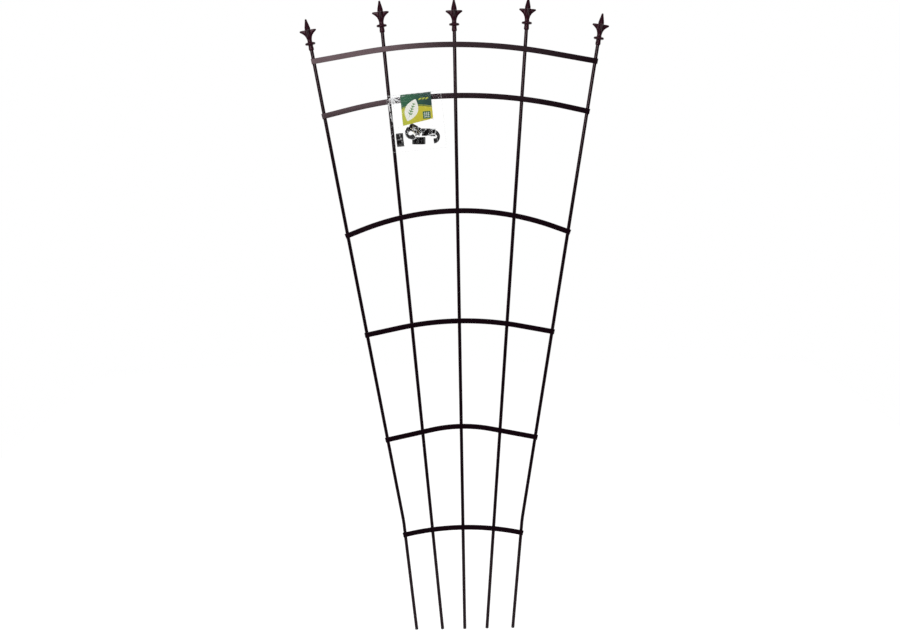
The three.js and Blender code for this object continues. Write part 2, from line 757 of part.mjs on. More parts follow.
const screwFlatShare = 0.6; // flat middle of the screw's head
function screwGeometry() {
  const headRadius = screw.headDiameter / 2;
  const shankRadius = screw.shankDiameter / 2;
  const half = screw.length / 2;
  return turned([
    [0, -half],
    [shankRadius / 4, -half],
    [shankRadius, -half + screw.pointLength],
    [shankRadius, half - screw.headHeight],
    [headRadius, half - screw.headHeight],
    [headRadius, half - screw.headHeight / 2],
    [headRadius * screwFlatShare, half],
    [0, half],
  ], smallSides);
}

const plugNoseShare = 0.6;
function wallPlugGeometry() {
  const radius = wallPlug.diameter / 2;
  const half = wallPlug.length / 2;
  const ribPitch = wallPlug.length / (2 * wallPlug.ribs + 2);
  const profile = [[0, -half], [radius * plugNoseShare, -half]];
  for (let rib = 0; rib < wallPlug.ribs; rib += 1) {
    const low = -half + (2 * rib + 1) * ribPitch;
    profile.push([radius, low], [radius - wallPlug.ribDepth, low + ribPitch]);
  }
  profile.push(
    [radius, half - ribPitch],
    [radius, half],
    [wallPlug.boreDiameter / 2, half],
    [wallPlug.boreDiameter / 2, half - wallPlug.boreDepth],
    [0, half - wallPlug.boreDepth],
  );
  return turned(profile, smallSides);
}

// Lays a stick-shaped piece flat in the bag, turned by degrees from level
function layStick(mesh, x, down, degrees, depth) {
  mesh.position.set(x, -depth, -down);
  mesh.rotation.y = THREE.MathUtils.degToRad(90 - degrees);
}

const screwPiece = {
  geometry: screwGeometry,
  material: zinc,
  diameter: screw.headDiameter,
};
const plugPiece = {
  geometry: wallPlugGeometry,
  material: tanPlastic,
  diameter: wallPlug.diameter,
};

// Two sticks lie on the top clip, along the flat side of the front clip that stands on its end
const flatSide = frontRow[0];
const plugSplay = 8; // degrees between the wall plug and the screw
const flatSideAngle = THREE.MathUtils.degToRad(flatSide.degrees);
const besideFlatSide = [
  { ...screwPiece, name: 'screw_1', degrees: flatSide.degrees - 180 },
  { ...plugPiece, name: 'wall_plug_1', degrees: flatSide.degrees - 180 + plugSplay },
];
let besideReach = clip.radius / 2 + pieceGap / 2;
besideFlatSide.forEach(({ name, geometry, material, diameter, degrees }) => {
  const mesh = addMesh(packContents, name, geometry(), material);
  const reach = besideReach + diameter / 2;
  const x = flatSide.x + reach * Math.sin(flatSideAngle);
  const down = pileBottom - flatSide.rise + reach * Math.cos(flatSideAngle);
  layStick(mesh, x, down, degrees, backDepth + clip.radius + seatGap + diameter / 2);
  besideReach = reach + diameter / 2 + pieceGap;
});

// The other sticks lie in rows on top of the pile, behind the card
const behindCard = [
  { ...screwPiece, name: 'screw_2' },
  { ...screwPiece, name: 'screw_3' },
  { ...plugPiece, name: 'wall_plug_2' },
  { ...plugPiece, name: 'wall_plug_3' },
  { ...screwPiece, name: 'screw_4' },
  { ...screwPiece, name: 'screw_5' },
  { ...plugPiece, name: 'wall_plug_4' },
  { ...plugPiece, name: 'wall_plug_5' },
  { ...screwPiece, name: 'screw_6' },
  { ...plugPiece, name: 'wall_plug_6' },
];
const rowsBottom = pileBottom - pileHeight - pieceGap;
const rowPitch = stickLayer + pieceGap;
const columnPitch = Math.max(screw.length, wallPlug.length) + pieceGap;
behindCard.forEach(({ name, geometry, material, diameter }, index) => {
  const mesh = addMesh(packContents, name, geometry(), material);
  const row = Math.floor(index / 2);
  const column = index % 2;
  const x = bagWidth / 2 + (column - 0.5) * columnPitch;
  layStick(mesh, x, rowsBottom - (row + 0.5) * rowPitch, 0, backDepth + diameter / 2);
});

// Clear film wound round the rail beside the upright, which holds the bag's top edge
function bandGeometry() {
  const rectangle = (width, height) => [
    new THREE.Vector2(-width / 2, -height / 2),
    new THREE.Vector2(width / 2, -height / 2),
    new THREE.Vector2(width / 2, height / 2),
    new THREE.Vector2(-width / 2, height / 2),
  ];
  const section = new THREE.Shape(rectangle(
    barThickness + 2 * (seatGap + bandWall),
    barWidth + 2 * (seatGap + bandWall),
  ));
  section.holes.push(new THREE.Path(rectangle(barThickness + 2 * seatGap, barWidth + 2 * seatGap)));
  const geometry = new THREE.ExtrudeGeometry(section, { depth: bandLength, bevelEnabled: false });
  geometry.translate(0, 0, -bandLength / 2);
  geometry.rotateX(Math.PI / 2);
  geometry.rotateZ(Math.PI / 2);
  return geometry;
}

const bandX = hangingCross.x + tubeRadius + weldWidth + pieceGap + bandLength / 2;
const bandSeat = railLine(hangingRail, bandX);
const band = addMesh(trellis, 'tie_band', bandGeometry(), clearFilm);
band.position.set(bandX, barBack - barThickness / 2, bandSeat.height);
band.rotation.y = bandSeat.tilt;

export default trellis;
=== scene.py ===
# Garden trellis: five round tubes, six arched flat rails, a cast spear finial on each tube, and
# the bag of wall fixings that hangs on the second rail. Metres, +Z up, the front faces -Y.

import json
from math import asin, atan2, copysign, cos, exp, hypot, pi, radians, sin, tan

import bmesh
import bpy
from mathutils import Matrix, Vector, noise
from mathutils.bvhtree import BVHTree

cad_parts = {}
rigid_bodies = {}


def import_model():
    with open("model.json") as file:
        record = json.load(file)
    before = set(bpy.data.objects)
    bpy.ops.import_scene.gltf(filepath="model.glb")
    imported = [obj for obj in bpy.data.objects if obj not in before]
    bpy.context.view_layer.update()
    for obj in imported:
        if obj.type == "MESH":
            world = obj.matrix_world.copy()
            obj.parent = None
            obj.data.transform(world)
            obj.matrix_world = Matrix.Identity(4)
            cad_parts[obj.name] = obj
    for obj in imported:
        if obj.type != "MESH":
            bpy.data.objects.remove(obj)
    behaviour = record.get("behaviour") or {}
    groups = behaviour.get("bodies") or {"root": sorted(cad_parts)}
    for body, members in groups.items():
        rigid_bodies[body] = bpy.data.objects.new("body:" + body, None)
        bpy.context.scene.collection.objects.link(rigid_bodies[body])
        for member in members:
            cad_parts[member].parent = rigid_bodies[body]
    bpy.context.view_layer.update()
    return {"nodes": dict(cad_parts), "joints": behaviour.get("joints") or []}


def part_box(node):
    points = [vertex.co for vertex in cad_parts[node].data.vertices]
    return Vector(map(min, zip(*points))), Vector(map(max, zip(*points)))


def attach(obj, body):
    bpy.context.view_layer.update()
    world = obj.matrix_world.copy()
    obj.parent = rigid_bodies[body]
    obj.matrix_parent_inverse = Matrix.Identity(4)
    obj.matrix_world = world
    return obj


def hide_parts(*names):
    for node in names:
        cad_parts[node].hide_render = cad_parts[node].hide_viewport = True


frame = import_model()
mm = 0.001
print("trellis: frame loaded,", len(frame["nodes"]), "nodes")

# How the trellis is drawn: the same driving sizes as the construction model
lines = {
    "tipHeight": 1500 * mm,
    "outerTipDrop": 36 * mm,
    "innerFoot": 55 * mm,
    "innerTip": 163 * mm,
    "outerFoot": 119 * mm,
    "outerKnee": 143.4 * mm,
    "outerTip": 325.5 * mm,
    "kneeAboveRail": 15.5 * mm,
    "kneeRadius": 300 * mm,
    "topRailDrop": 96 * mm,
    "topRailGap": 110 * mm,
    "bottomRail": 270.5 * mm,
    "railBends": [1220 * mm, 1075 * mm, 620 * mm, 705 * mm, 335 * mm, 605 * mm],
    "railEndDegrees": [9.9, 13.1, 20.7, 11.5, 12.1, 12.6],
    "railSkewDegrees": [1, 0, 0, 0, 0, 0],  # the top rail is welded a little lower on the right
    "seatGap": 0.3 * mm,
}
uprightNumbers = range(1, 6)
railNumbers = range(1, 7)
frameBody = "trellis_frame"
packBody = "fixings_pack"


def takeUp(*pieces):  # the only selected pieces, the first of them active
    bpy.ops.object.select_all(action='DESELECT')
    for piece in pieces:
        piece.select_set(True)
    if pieces:
        bpy.context.view_layer.objects.active = pieces[0]


def settled(piece):  # its place goes into its mesh
    takeUp(piece)
    bpy.ops.object.transform_apply(location=True, rotation=True, scale=True)
    return piece


def drawn(addShape, scale=(1, 1, 1), **settings):  # a primitive at its size and place
    takeUp()
    addShape(**settings)
    bpy.context.object.scale = scale
    return bpy.context.object


def started(*shape, **settings):  # the same, with its place in the mesh
    return settled(drawn(*shape, **settings))


def selectAll():
    bpy.ops.mesh.select_all(action='SELECT')


def edit():  # edit mode, with every vertex selected
    bpy.ops.object.mode_set(mode='EDIT')
    bpy.ops.mesh.select_mode(type='VERT')
    selectAll()


def objectMode():
    bpy.ops.object.mode_set(mode='OBJECT')


def outward():  # in edit mode: welds doubles and turns every face outwards
    selectAll()
    bpy.ops.mesh.remove_doubles(threshold=0.01 * mm)
    bpy.ops.mesh.normals_make_consistent(inside=False)


def closeUp():
    outward()
    objectMode()


def pick(kind, test):  # in edit mode: selects the vertices or faces that pass the test
    bpy.ops.mesh.select_all(action='DESELECT')
    bpy.ops.mesh.select_mode(type=kind)
    mesh = bmesh.from_edit_mesh(bpy.context.object.data)
    for part in mesh.verts if kind == 'VERT' else mesh.faces:
        part.select = test(part)
    mesh.select_flush(True)
    bmesh.update_edit_mesh(bpy.context.object.data)


def pull(offset):  # extrudes what is selected
    bpy.ops.mesh.extrude_region_move(TRANSFORM_OT_translate={"value": tuple(offset)})


def cutAlong(spot, direction, **settings):  # in edit mode: cuts everything along a plane
    selectAll()
    bpy.ops.mesh.bisect(plane_co=spot, plane_no=direction, **settings)


def spinRound(steps, angle, centre, axis):  # the operator turns against its axis, hence the minus
    bpy.ops.mesh.spin(steps=steps, angle=-angle, center=tuple(centre), axis=tuple(axis))


def applied(piece, kind, name, **settings):  # adds a modifier, sets it and applies it
    takeUp(piece)
    modifier = piece.modifiers.new(name, kind)
    for key, value in settings.items():
        setattr(modifier, key, value)
    bpy.ops.object.modifier_apply(modifier=modifier.name)
    return piece


def joined(*pieces):
    takeUp(*pieces)
    bpy.ops.object.join()
    return bpy.context.object


def copied(piece, place):  # a copy with its own mesh, set down by a matrix
    takeUp(piece)
    bpy.ops.object.duplicate(linked=False)
    bpy.context.object.matrix_world = place @ piece.matrix_world
    return settled(bpy.context.object)


def removed(piece):
    bpy.data.objects.remove(piece, do_unlink=True)


def cutAway(piece, cutter):  # takes one shape out of another
    applied(piece, 'BOOLEAN', "cut", operation='DIFFERENCE', object=cutter, solver='EXACT')
    removed(cutter)


def cutBoxes(piece, size, height, turns=(0,)):  # takes boxes out of a piece, turned about Z
    for turn in turns:
        cutAway(piece, drawn(bpy.ops.mesh.primitive_cube_add, size, size=1, location=(0, 0, height),
                             rotation=(0, 0, turn)))


def startRing(radius, height, sides):  # a disc, left in edit mode for its rings
    piece = started(bpy.ops.mesh.primitive_circle_add, vertices=sides, radius=radius,
                    location=(0, 0, height), fill_type='NGON')
    edit()
    return piece


def ringUp(height, radiusAt):  # extrudes the selected ring to a height and gives it a new outline
    pull((0, 0, 0))
    mesh = bmesh.from_edit_mesh(bpy.context.object.data)
    for vert in mesh.verts:
        if vert.select:
            angle = atan2(vert.co.y, vert.co.x)
            radius = radiusAt(angle)
            vert.co = (radius * cos(angle), radius * sin(angle), height)
    bmesh.update_edit_mesh(bpy.context.object.data)


def lathe(profile, steps):  # a profile of (radius, height) in millimetres, drawn by points and spun
    piece = started(bpy.ops.mesh.primitive_plane_add, size=mm)
    edit()
    bpy.ops.mesh.merge(type='CENTER')
    here, *rest = [Vector((radius * mm, 0, height * mm)) for radius, height in profile]
    bpy.ops.transform.translate(value=here)
    for corner in rest:
        step = corner - here
        pull(step)
        here += step
    selectAll()
    spinRound(steps, 2 * pi, (0, 0, 0), (0, 0, 1))
    closeUp()
    return piece


def seated(piece, node):  # moves a turned copy so that its box is centred on its node's box
    low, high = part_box(node)
    spans = [[vert.co[axis] for vert in piece.data.vertices] for axis in range(3)]
    middle = (Vector([min(span) for span in spans]) + Vector([max(span) for span in spans])) / 2
    shift = (low + high) / 2 - middle
    for vert in piece.data.vertices:
        vert.co += shift
    return piece


def delivered(piece, name, node, body, slotName, material=None, sharpDegrees=35, flat=False):
    # gives a finished piece its shading, name, material and body, and takes its node's place; its slot name
    # is not used
    settled(piece)
    bpy.ops.object.shade_smooth_by_angle(angle=radians(sharpDegrees))
    piece.name = name
    piece.data.name = name
    if flat:  # big flat faces stay flat beside their rounded edges
        applied(piece, 'WEIGHTED_NORMAL', "flat faces", keep_sharp=True)
    if material:
        piece.data.materials.append(material)
    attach(piece, body)
    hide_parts(node)


# The tubes' and rails' centre lines

def tubeCorners(number):  # foot, knee where there is one, and tip, in the plane y = 0
    side = -1 if number < 3 else 1
    if number == 3:
        return [Vector((0, 0, 0)), Vector((0, 0, lines["tipHeight"]))]
    if number in (2, 4):
        return [Vector((side * lines["innerFoot"], 0, 0)),
                Vector((side * lines["innerTip"], 0, lines["tipHeight"]))]
    return [Vector((side * lines["outerFoot"], 0, 0)),
            Vector((side * lines["outerKnee"], 0, lines["bottomRail"] + lines["kneeAboveRail"])),
            Vector((side * lines["outerTip"], 0, lines["tipHeight"] - lines["outerTipDrop"]))]


def tubeAt(number, height):  # the tube's centre and its lean towards +X at a height
    corners = tubeCorners(number)
    upper = 1 if len(corners) == 2 or height < corners[1].z else 2
    low, high = corners[upper - 1], corners[upper]
    share = (height - low.z) / (high.z - low.z)
    return low.lerp(high, share), atan2(high.x - low.x, high.z - low.z)


def railAt(number, x):  # height and slope of a rail's centre line
    crowns = [lines["tipHeight"] - lines["topRailDrop"]]
    second = crowns[0] - lines["topRailGap"]
    crowns += [second + (lines["bottomRail"] - second) * step / 4 for step in range(5)]
    bend = lines["railBends"][number - 1]
    endAngle = radians(lines["railEndDegrees"][number - 1])
    skew = radians(lines["railSkewDegrees"][number - 1])
    arcReach = bend * sin(endAngle)
    angle = asin(min(abs(x), arcReach) / bend)
    drop = bend * (1 - cos(angle)) + max(0.0, abs(x) - arcReach) * tan(endAngle)
    return crowns[number - 1] - drop - x * tan(skew), copysign(angle, x) + skew


def crossing(rail, tube):  # where a rail crosses a tube, the rail's slope and the tube's lean
    height = railAt(rail, 0)[0]
    for _ in range(8):
        place, lean = tubeAt(tube, height)
        height, slope = railAt(rail, place.x)
    return Vector((place.x, 0, height)), slope, lean


# Materials
print("trellis: materials")
white = (1, 1, 1, 1)


def put(tree, socket, value):  # links a socket to another, or sets its constant
    if isinstance(value, bpy.types.NodeSocket):
        tree.links.new(value, socket)
    else:
        socket.default_value = value


def fill(tree, node, values):  # several sockets at once, by name or number
    for label, value in values.items():
        put(tree, node.inputs[label], value)


def newNode(tree, kind, settings=None, **values):
    node = tree.nodes.new("ShaderNode" + kind)
    for key, value in (settings or {}).items():
        setattr(node, key, value)
    fill(tree, node, values)
    return node


def newMaterial(name, viewColour):
    material = bpy.data.materials.new(name)
    material.use_nodes = True
    material.diffuse_color = viewColour
    tree = material.node_tree
    return material, tree, tree.nodes["Principled BSDF"]


def newGroup(name, inputs, outputs):
    group = bpy.data.node_groups.new(name, "ShaderNodeTree")
    kinds = {3: 'NodeSocketVector', 4: 'NodeSocketColor'}
    for label, value in inputs.items():
        kind = 'NodeSocketFloat' if isinstance(value, float) else kinds[len(value)]
        group.interface.new_socket(label, in_out='INPUT', socket_type=kind).default_value = value
    for label in outputs:
        kind = 'NodeSocketColor' if label == "Colour" else 'NodeSocketFloat'
        group.interface.new_socket(label, in_out='OUTPUT', socket_type=kind)
    return group, group.nodes.new("NodeGroupInput").outputs, group.nodes.new("NodeGroupOutput")


def calculate(tree, operation, *values):  # a Math node on sockets or numbers
    node = newNode(tree, "Math", {"operation": operation})
    fill(tree, node, dict(enumerate(values)))
    return node.outputs[0]


def mixColour(tree, share, first, second):  # sockets or colours
    node = newNode(tree, "Mix", {"data_type": 'RGBA'})
    fill(tree, node, {0: share, 6: first, 7: second})
    return node.outputs[2]


def spread(tree, value, low, high, to=(0, 1)):  # from low..high to a new range, with soft ends
    node = newNode(tree, "MapRange", {"interpolation_type": 'SMOOTHSTEP'})
    fill(tree, node, dict(enumerate((value, low, high, *to))))
    return node.outputs[0]


def objectPlace(tree):
    return newNode(tree, "TexCoord").outputs["Object"]


def noiseAt(tree, place, **values):
    return newNode(tree, "TexNoise", Vector=place, **values).outputs[0]


def partsOf(tree, vector):
    return newNode(tree, "SeparateXYZ", Vector=vector).outputs


def bumped(tree, shader, height, distance, strength=1.0):  # a height in 0..1 over the surface
    bump = newNode(tree, "Bump", Height=height, Strength=strength, Distance=distance)
    put(tree, shader.inputs["Normal"], bump.outputs["Normal"])


def toned(group, given, texture):  # a slow change of tone round the given colour
    tone = spread(group, texture, 0.3, 0.7, (-0.5, 0.5))
    gain = calculate(group, 'MULTIPLY_ADD', tone, given["Tone Change"], 1.0)
    colour = newNode(group, "VectorMath", {"operation": 'SCALE'}, Vector=given["Colour"], Scale=gain)
    return tone, colour.outputs[0]


coatDust = (0.32, 0.29, 0.26, 1)


def powderGroup():  # orange peel, a slow change of tone, fine dust where a surface looks up
    group, given, made = newGroup("powderCoat", {
        "Colour": (0.01, 0.005, 0.007, 1),
        "Tone Change": 0.3,
        "Roughness": 0.3,
        "Grain Scale": 700.0,
        "Dust": 0.03,
    }, ("Colour", "Roughness", "Height"))
    place = objectPlace(group)
    peel = noiseAt(group, place, Scale=given["Grain Scale"], Detail=2.0, Roughness=0.45)
    broad = noiseAt(group, place, Scale=22.0, Detail=4.0, Roughness=0.6)
    speck = noiseAt(group, place, Scale=2600.0, Detail=1.0)
    tone, colour = toned(group, given, broad)
    normal = newNode(group, "NewGeometry").outputs["Normal"]
    level = spread(group, partsOf(group, normal)[2], 0.35, 1.0)
    grains = spread(group, speck, 0.5, 0.72)
    dusty = calculate(group, 'MULTIPLY', calculate(group, 'MULTIPLY', level, grains), given["Dust"])
    rough = calculate(group, 'MULTIPLY_ADD', tone, 0.05, given["Roughness"])
    fill(group, made, {
        "Colour": mixColour(group, dusty, colour, coatDust),
        "Roughness": calculate(group, 'MULTIPLY_ADD', dusty, 0.3, rough),
        "Height": calculate(group, 'MULTIPLY_ADD', speck, 0.12, peel),
    })
    return group


def mouldedGroup():  # a faint grain and mould flow, and rubbed shine
    group, given, made = newGroup("mouldedPlastic", {
        "Colour": (0.02, 0.02, 0.02, 1),
        "Tone Change": 0.2,
        "Roughness": 0.3,
        "Grain Scale": 1500.0,
    }, ("Colour", "Roughness", "Height"))
    place = objectPlace(group)
    grain = noiseAt(group, place, Scale=given["Grain Scale"], Detail=3.0)
    flow = noiseAt(group, place, Scale=160.0, Detail=3.0, Distortion=1.2)
    tone, colour = toned(group, given, flow)
    rough = calculate(group, 'MULTIPLY_ADD', tone, 0.14, given["Roughness"])
    fill(group, made, {"Colour": colour, "Roughness": rough, "Height": grain})
    return group


coatTint = (1.0, 0.73, 0.78, 1)
coats = {  # colour, roughness, the grain's scale and depth, the shine and its tint
    "tubeCoat": ((0.0056, 0.0010, 0.0034, 1), 0.18, 900.0, 0.001 * mm, 0.165, coatTint),
    "railCoat": ((0.0060, 0.0011, 0.0036, 1), 0.18, 700.0, 0.0011 * mm, 0.165, coatTint),
    "finialCoat": ((0.0260, 0.0044, 0.0100, 1), 0.30, 700.0, 0.01 * mm, 0.165, coatTint),
    "clipPlastic": ((0.0045, 0.0030, 0.0042, 1), 0.2, 900.0, 0.006 * mm, 0.2, white),
    "footPlastic": ((0.012, 0.011, 0.012, 1), 0.5, 1500.0, 0.03 * mm, 0.4, white),
    "plugPlastic": ((0.10, 0.082, 0.046, 1), 0.42, 1300.0, 0.02 * mm, 0.5, white),
}


def coatMaterial(name, group):
    colour, rough, grain, depth, shine, tint = coats[name]
    material, tree, shader = newMaterial(name, colour)
    coat = newNode(tree, "Group", {"node_tree": group})
    fill(tree, coat, {"Colour": colour, "Roughness": rough, "Grain Scale": grain})
    fill(tree, shader, {
        "Base Color": coat.outputs["Colour"],
        "Roughness": coat.outputs["Roughness"],
        "Specular IOR Level": shine,
        "Specular Tint": tint,
    })
    bumped(tree, shader, coat.outputs["Height"], depth)
    return material


zinc = {"colour": (0.56, 0.54, 0.49, 1), "tint": (0.62, 0.55, 0.34, 1), "rough": 0.3}


def zincMaterial():
    material, tree, shader = newMaterial("zincPlate", zinc["colour"])
    place = objectPlace(tree)
    spangle = newNode(tree, "TexVoronoi", Vector=place, Scale=700.0).outputs["Distance"]
    haze = noiseAt(tree, place, Scale=240.0, Detail=4.0)
    passivated = spread(tree, haze, 0.35, 0.65)
    fill(tree, shader, {
        "Base Color": mixColour(tree, passivated, zinc["colour"], zinc["tint"]),
        "Roughness": calculate(tree, 'MULTIPLY_ADD', spangle, 0.12, zinc["rough"]),
        "Metallic": 1.0,
    })
    bumped(tree, shader, haze, 0.01 * mm)
    return material


# Clear film: glints of the lamps all over it from its gloss, and painted glints and glare along its creases
# and pleats and where it is seen edge on, made white by a painted glow
films = {
    # fold and edge weigh the painted glints along the creases and the painted sheen where the film is seen
    # edge on
    "bagFilm": {"fold": 0.85, "edge": 0.05, "rough": 0.12, "scale": 60.0, "bump": 0.36 * mm},
    "tieFilm": {"fold": 0.22, "edge": 0.04, "rough": 0.16, "scale": 180.0, "bump": 0.5 * mm},
    "viewColour": (0.9, 0.92, 0.93, 0.3),
    "colour": (0.70, 0.71, 0.72, 1),
    "paintedGlowLevel": 0.34,  # a painted glow that stands in for the white behind, seen through the creases
    "sheen": (0.010, 0.0103, 0.0106, 1),
    "most": 0.92,
}


def filmMaterial(name):
    values = films[name]
    material, tree, shader = newMaterial(name, films["viewColour"])
    place = objectPlace(tree)
    crumple = noiseAt(tree, place, Scale=values["scale"], Detail=3.0, Distortion=0.8)
    drawnOut = newNode(tree, "Mapping", Vector=place, Scale=(1.0, 1.0, 0.3)).outputs[0]
    streaks = noiseAt(tree, drawnOut, Scale=1100.0, Detail=2.0)  # they run down the film
    folds, pleats = (newNode(tree, "Attribute", {"attribute_name": label}).outputs["Fac"]
                     for label in ("fold", "pleat"))
    broken = spread(tree, streaks, 0.35, 0.6, (0.45, 1.0))
    # painted glints and glare: creases and pleats turn white by alpha over the painted glow
    paintedGlint = calculate(tree, 'MULTIPLY', spread(tree, folds, 0.45, 1.0), broken)
    paintedGlint = calculate(tree, 'MAXIMUM', paintedGlint, spread(tree, pleats, 0.15, 0.75))
    facing = newNode(tree, "LayerWeight", Blend=0.35).outputs["Facing"]
    alpha = calculate(tree, 'MULTIPLY', paintedGlint, values["fold"])
    # painted sheen where the film is seen edge on
    alpha = calculate(tree, 'MULTIPLY_ADD', spread(tree, facing, 0.6, 0.98), values["edge"], alpha)
    fill(tree, shader, {
        "Alpha": calculate(tree, 'MINIMUM', alpha, films["most"]),
        "Base Color": films["colour"],
        "Emission Color": white,
        "Emission Strength": films["paintedGlowLevel"],
        "Specular IOR Level": 0.0,
        "Roughness": 0.5,
    })
    bumped(tree, shader, crumple, values["bump"], 0.7)
    normal = shader.inputs["Normal"].links[0].from_socket
    gloss = newNode(tree, "BsdfGlossy", Color=films["sheen"], Roughness=values["rough"], Normal=normal)
    both = newNode(tree, "AddShader")
    fill(tree, both, {0: shader.outputs[0], 1: gloss.outputs[0]})
    fill(tree, tree.nodes["Material Output"], {"Surface": both.outputs[0]})
    return material


# The card's print, on its own map in millimetres from the lower left corner
card = {
    "width": 68.0,
    "height": 72.0,
    "bandFrom": 39.0,
    "bandRise": 4.0,
    "bandSwell": 0.055,  # radians per millimetre
    "stripe": (1.7, 2.7),  # above the band's edge
    "greenChange": (10, 66),  # from the left edge
    "limeChange": (0, 40),
    "darkGreen": (0.018, 0.115, 0.052, 1),
    "deepGreen": (0.010, 0.050, 0.040, 1),
    "lime": (0.50, 0.53, 0.055, 1),
    "yellowLime": (0.56, 0.50, 0.030, 1),
    "pale": (0.86, 0.87, 0.80, 1),
    "sprig": (0.10, 0.26, 0.06, 1),
    "board": (0.62, 0.62, 0.58, 1),
    "boardDark": (0.52, 0.52, 0.48, 1),
    "boardPale": (0.70, 0.70, 0.66, 1),
    "rough": 0.22,
    "plate": (22, 34, -66, 27, 14.5),  # a leaf's middle, turn in degrees, half length and half width
    "stem": (22, 33, -66, 21, 0.55),
    "tile": (46, 63, 11, 28),  # left, right, low and high
    "latticeLines": [50.5, 54.5, 58.5],
    "latticeHalf": 0.35,
    "latticeInset": 1.5,
}
bandLeaves = [(43.0 + 7.5 * step, 58.0, -28, 4.4, 1.8) for step in range(3)]
sprigLeaves = []
for step in range(5):
    for degrees in (18, 114):  # to the right and to the left of the stem
        reach = 3.4 - 0.3 * step
        sprigLeaves.append((17.9 + 2.44 * step + reach * cos(radians(degrees)),
                            23.9 + 5.5 * step + reach * sin(radians(degrees)),
                            -degrees, reach, 1.25))


def leafGroup():  # a pointed oval: 1 inside, 0 outside
    group, given, made = newGroup("leafShape", {
        "Vector": (0, 0, 0),
        "Middle": (0, 0, 0),
        "Turn": 0.0,
        "Half Length": 5.0,
        "Half Width": 2.0,
    }, ("Mask",))
    turn = newNode(group, "VectorRotate", {"rotation_type": 'Z_AXIS'}, Vector=given["Vector"],
                   Center=given["Middle"], Angle=given["Turn"])
    local = newNode(group, "VectorMath", {"operation": 'SUBTRACT'})
    fill(group, local, {0: turn.outputs[0], 1: given["Middle"]})
    parts = partsOf(group, local.outputs[0])
    along = calculate(group, 'DIVIDE', parts[0], given["Half Length"])
    room = calculate(group, 'SUBTRACT', 1.0, calculate(group, 'MULTIPLY', along, along))
    half = calculate(group, 'MULTIPLY', room, given["Half Width"])
    inside = calculate(group, 'SUBTRACT', half, calculate(group, 'ABSOLUTE', parts[1]))
    fill(group, made, {"Mask": spread(group, inside, -0.08, 0.08)})
    return group


def between(tree, value, low, high, soft=0.1):  # 1 from low to high
    return calculate(tree, 'MULTIPLY', spread(tree, value, low - soft, low + soft),
                     spread(tree, value, high - soft, high + soft, (1, 0)))


def boxMask(tree, parts, left, right, low, high):  # 1 inside a rectangle of the print
    return calculate(tree, 'MULTIPLY', between(tree, parts[0], left, right),
                     between(tree, parts[1], low, high))


def leafMasks(tree, group, vector, leaves):  # several leaves as one mask
    total = None
    for middleX, middleY, degrees, halfLength, halfWidth in leaves:
        leaf = newNode(tree, "Group", {"node_tree": group})
        places = (vector, (middleX, middleY, 0), radians(degrees), halfLength, halfWidth)
        fill(tree, leaf, dict(enumerate(places)))
        shape = leaf.outputs["Mask"]
        total = calculate(tree, 'MAXIMUM', total, shape) if total else shape
    return total


def cardMaterial():
    material, tree, shader = newMaterial("printedCard", card["darkGreen"])
    leaf = leafGroup()
    mapped = newNode(tree, "UVMap", {"uv_map": "print"}).outputs[0]
    size = (card["width"], card["height"], 1)
    vector = newNode(tree, "Mapping", Vector=mapped, Scale=size).outputs[0]
    parts = partsOf(tree, vector)
    across, up = parts[0], parts[1]
    green = mixColour(tree, spread(tree, across, *card["greenChange"]), card["darkGreen"], card["deepGreen"])
    lime = mixColour(tree, spread(tree, across, *card["limeChange"]), card["lime"], card["yellowLime"])
    swell = calculate(tree, 'SINE', calculate(tree, 'MULTIPLY', across, card["bandSwell"]))
    edge = calculate(tree, 'MULTIPLY_ADD', swell, card["bandRise"], card["bandFrom"])
    above = calculate(tree, 'SUBTRACT', up, edge)
    colour = mixColour(tree, spread(tree, above, -0.15, 0.15), lime, green)
    printed = [
        (between(tree, above, *card["stripe"]), "lime"),
        (leafMasks(tree, leaf, vector, bandLeaves), "lime"),
        (leafMasks(tree, leaf, vector, [card["plate"]]), "pale"),
        (leafMasks(tree, leaf, vector, [card["stem"]]), "sprig"),
        (leafMasks(tree, leaf, vector, sprigLeaves), "sprig"),
        (boxMask(tree, parts, *card["tile"]), "darkGreen"),
    ]
    left, right, low, high = card["tile"]
    half, inset = card["latticeHalf"], card["latticeInset"]
    for line in card["latticeLines"]:
        level = line - left + low
        printed += [
            (boxMask(tree, parts, line - half, line + half, low + inset, high - inset), "pale"),
            (boxMask(tree, parts, left + inset, right - inset, level - half, level + half), "pale"),
        ]
    for mask, ink in printed:
        colour = mixColour(tree, mask, colour, card[ink])
    fibre = noiseAt(tree, vector, Scale=5.0, Detail=4.0)
    rough = calculate(tree, 'MULTIPLY_ADD', fibre, 0.12, card["rough"])
    fill(tree, shader, {"Base Color": colour, "Roughness": rough})
    bumped(tree, shader, fibre, 0.02 * mm)
    return material


def boardMaterial():  # the card's bare back and cut edges
    material, tree, shader = newMaterial("cardBoard", card["board"])
    fibre = noiseAt(tree, objectPlace(tree), Scale=2600.0, Detail=5.0, Roughness=0.7)
    shade = spread(tree, fibre, 0.3, 0.7)
    colour = mixColour(tree, shade, card["boardDark"], card["boardPale"])
    fill(tree, shader, {"Base Color": colour, "Roughness": 0.8})
    bumped(tree, shader, fibre, 0.03 * mm)
    return material


powderCoat = powderGroup()
mouldedPlastic = mouldedGroup()
coated = {name: coatMaterial(name, powderCoat if name.endswith("Coat") else mouldedPlastic) for name in coats}
zincPlate = zincMaterial()
printedCard = cardMaterial()
cardBoard = boardMaterial()


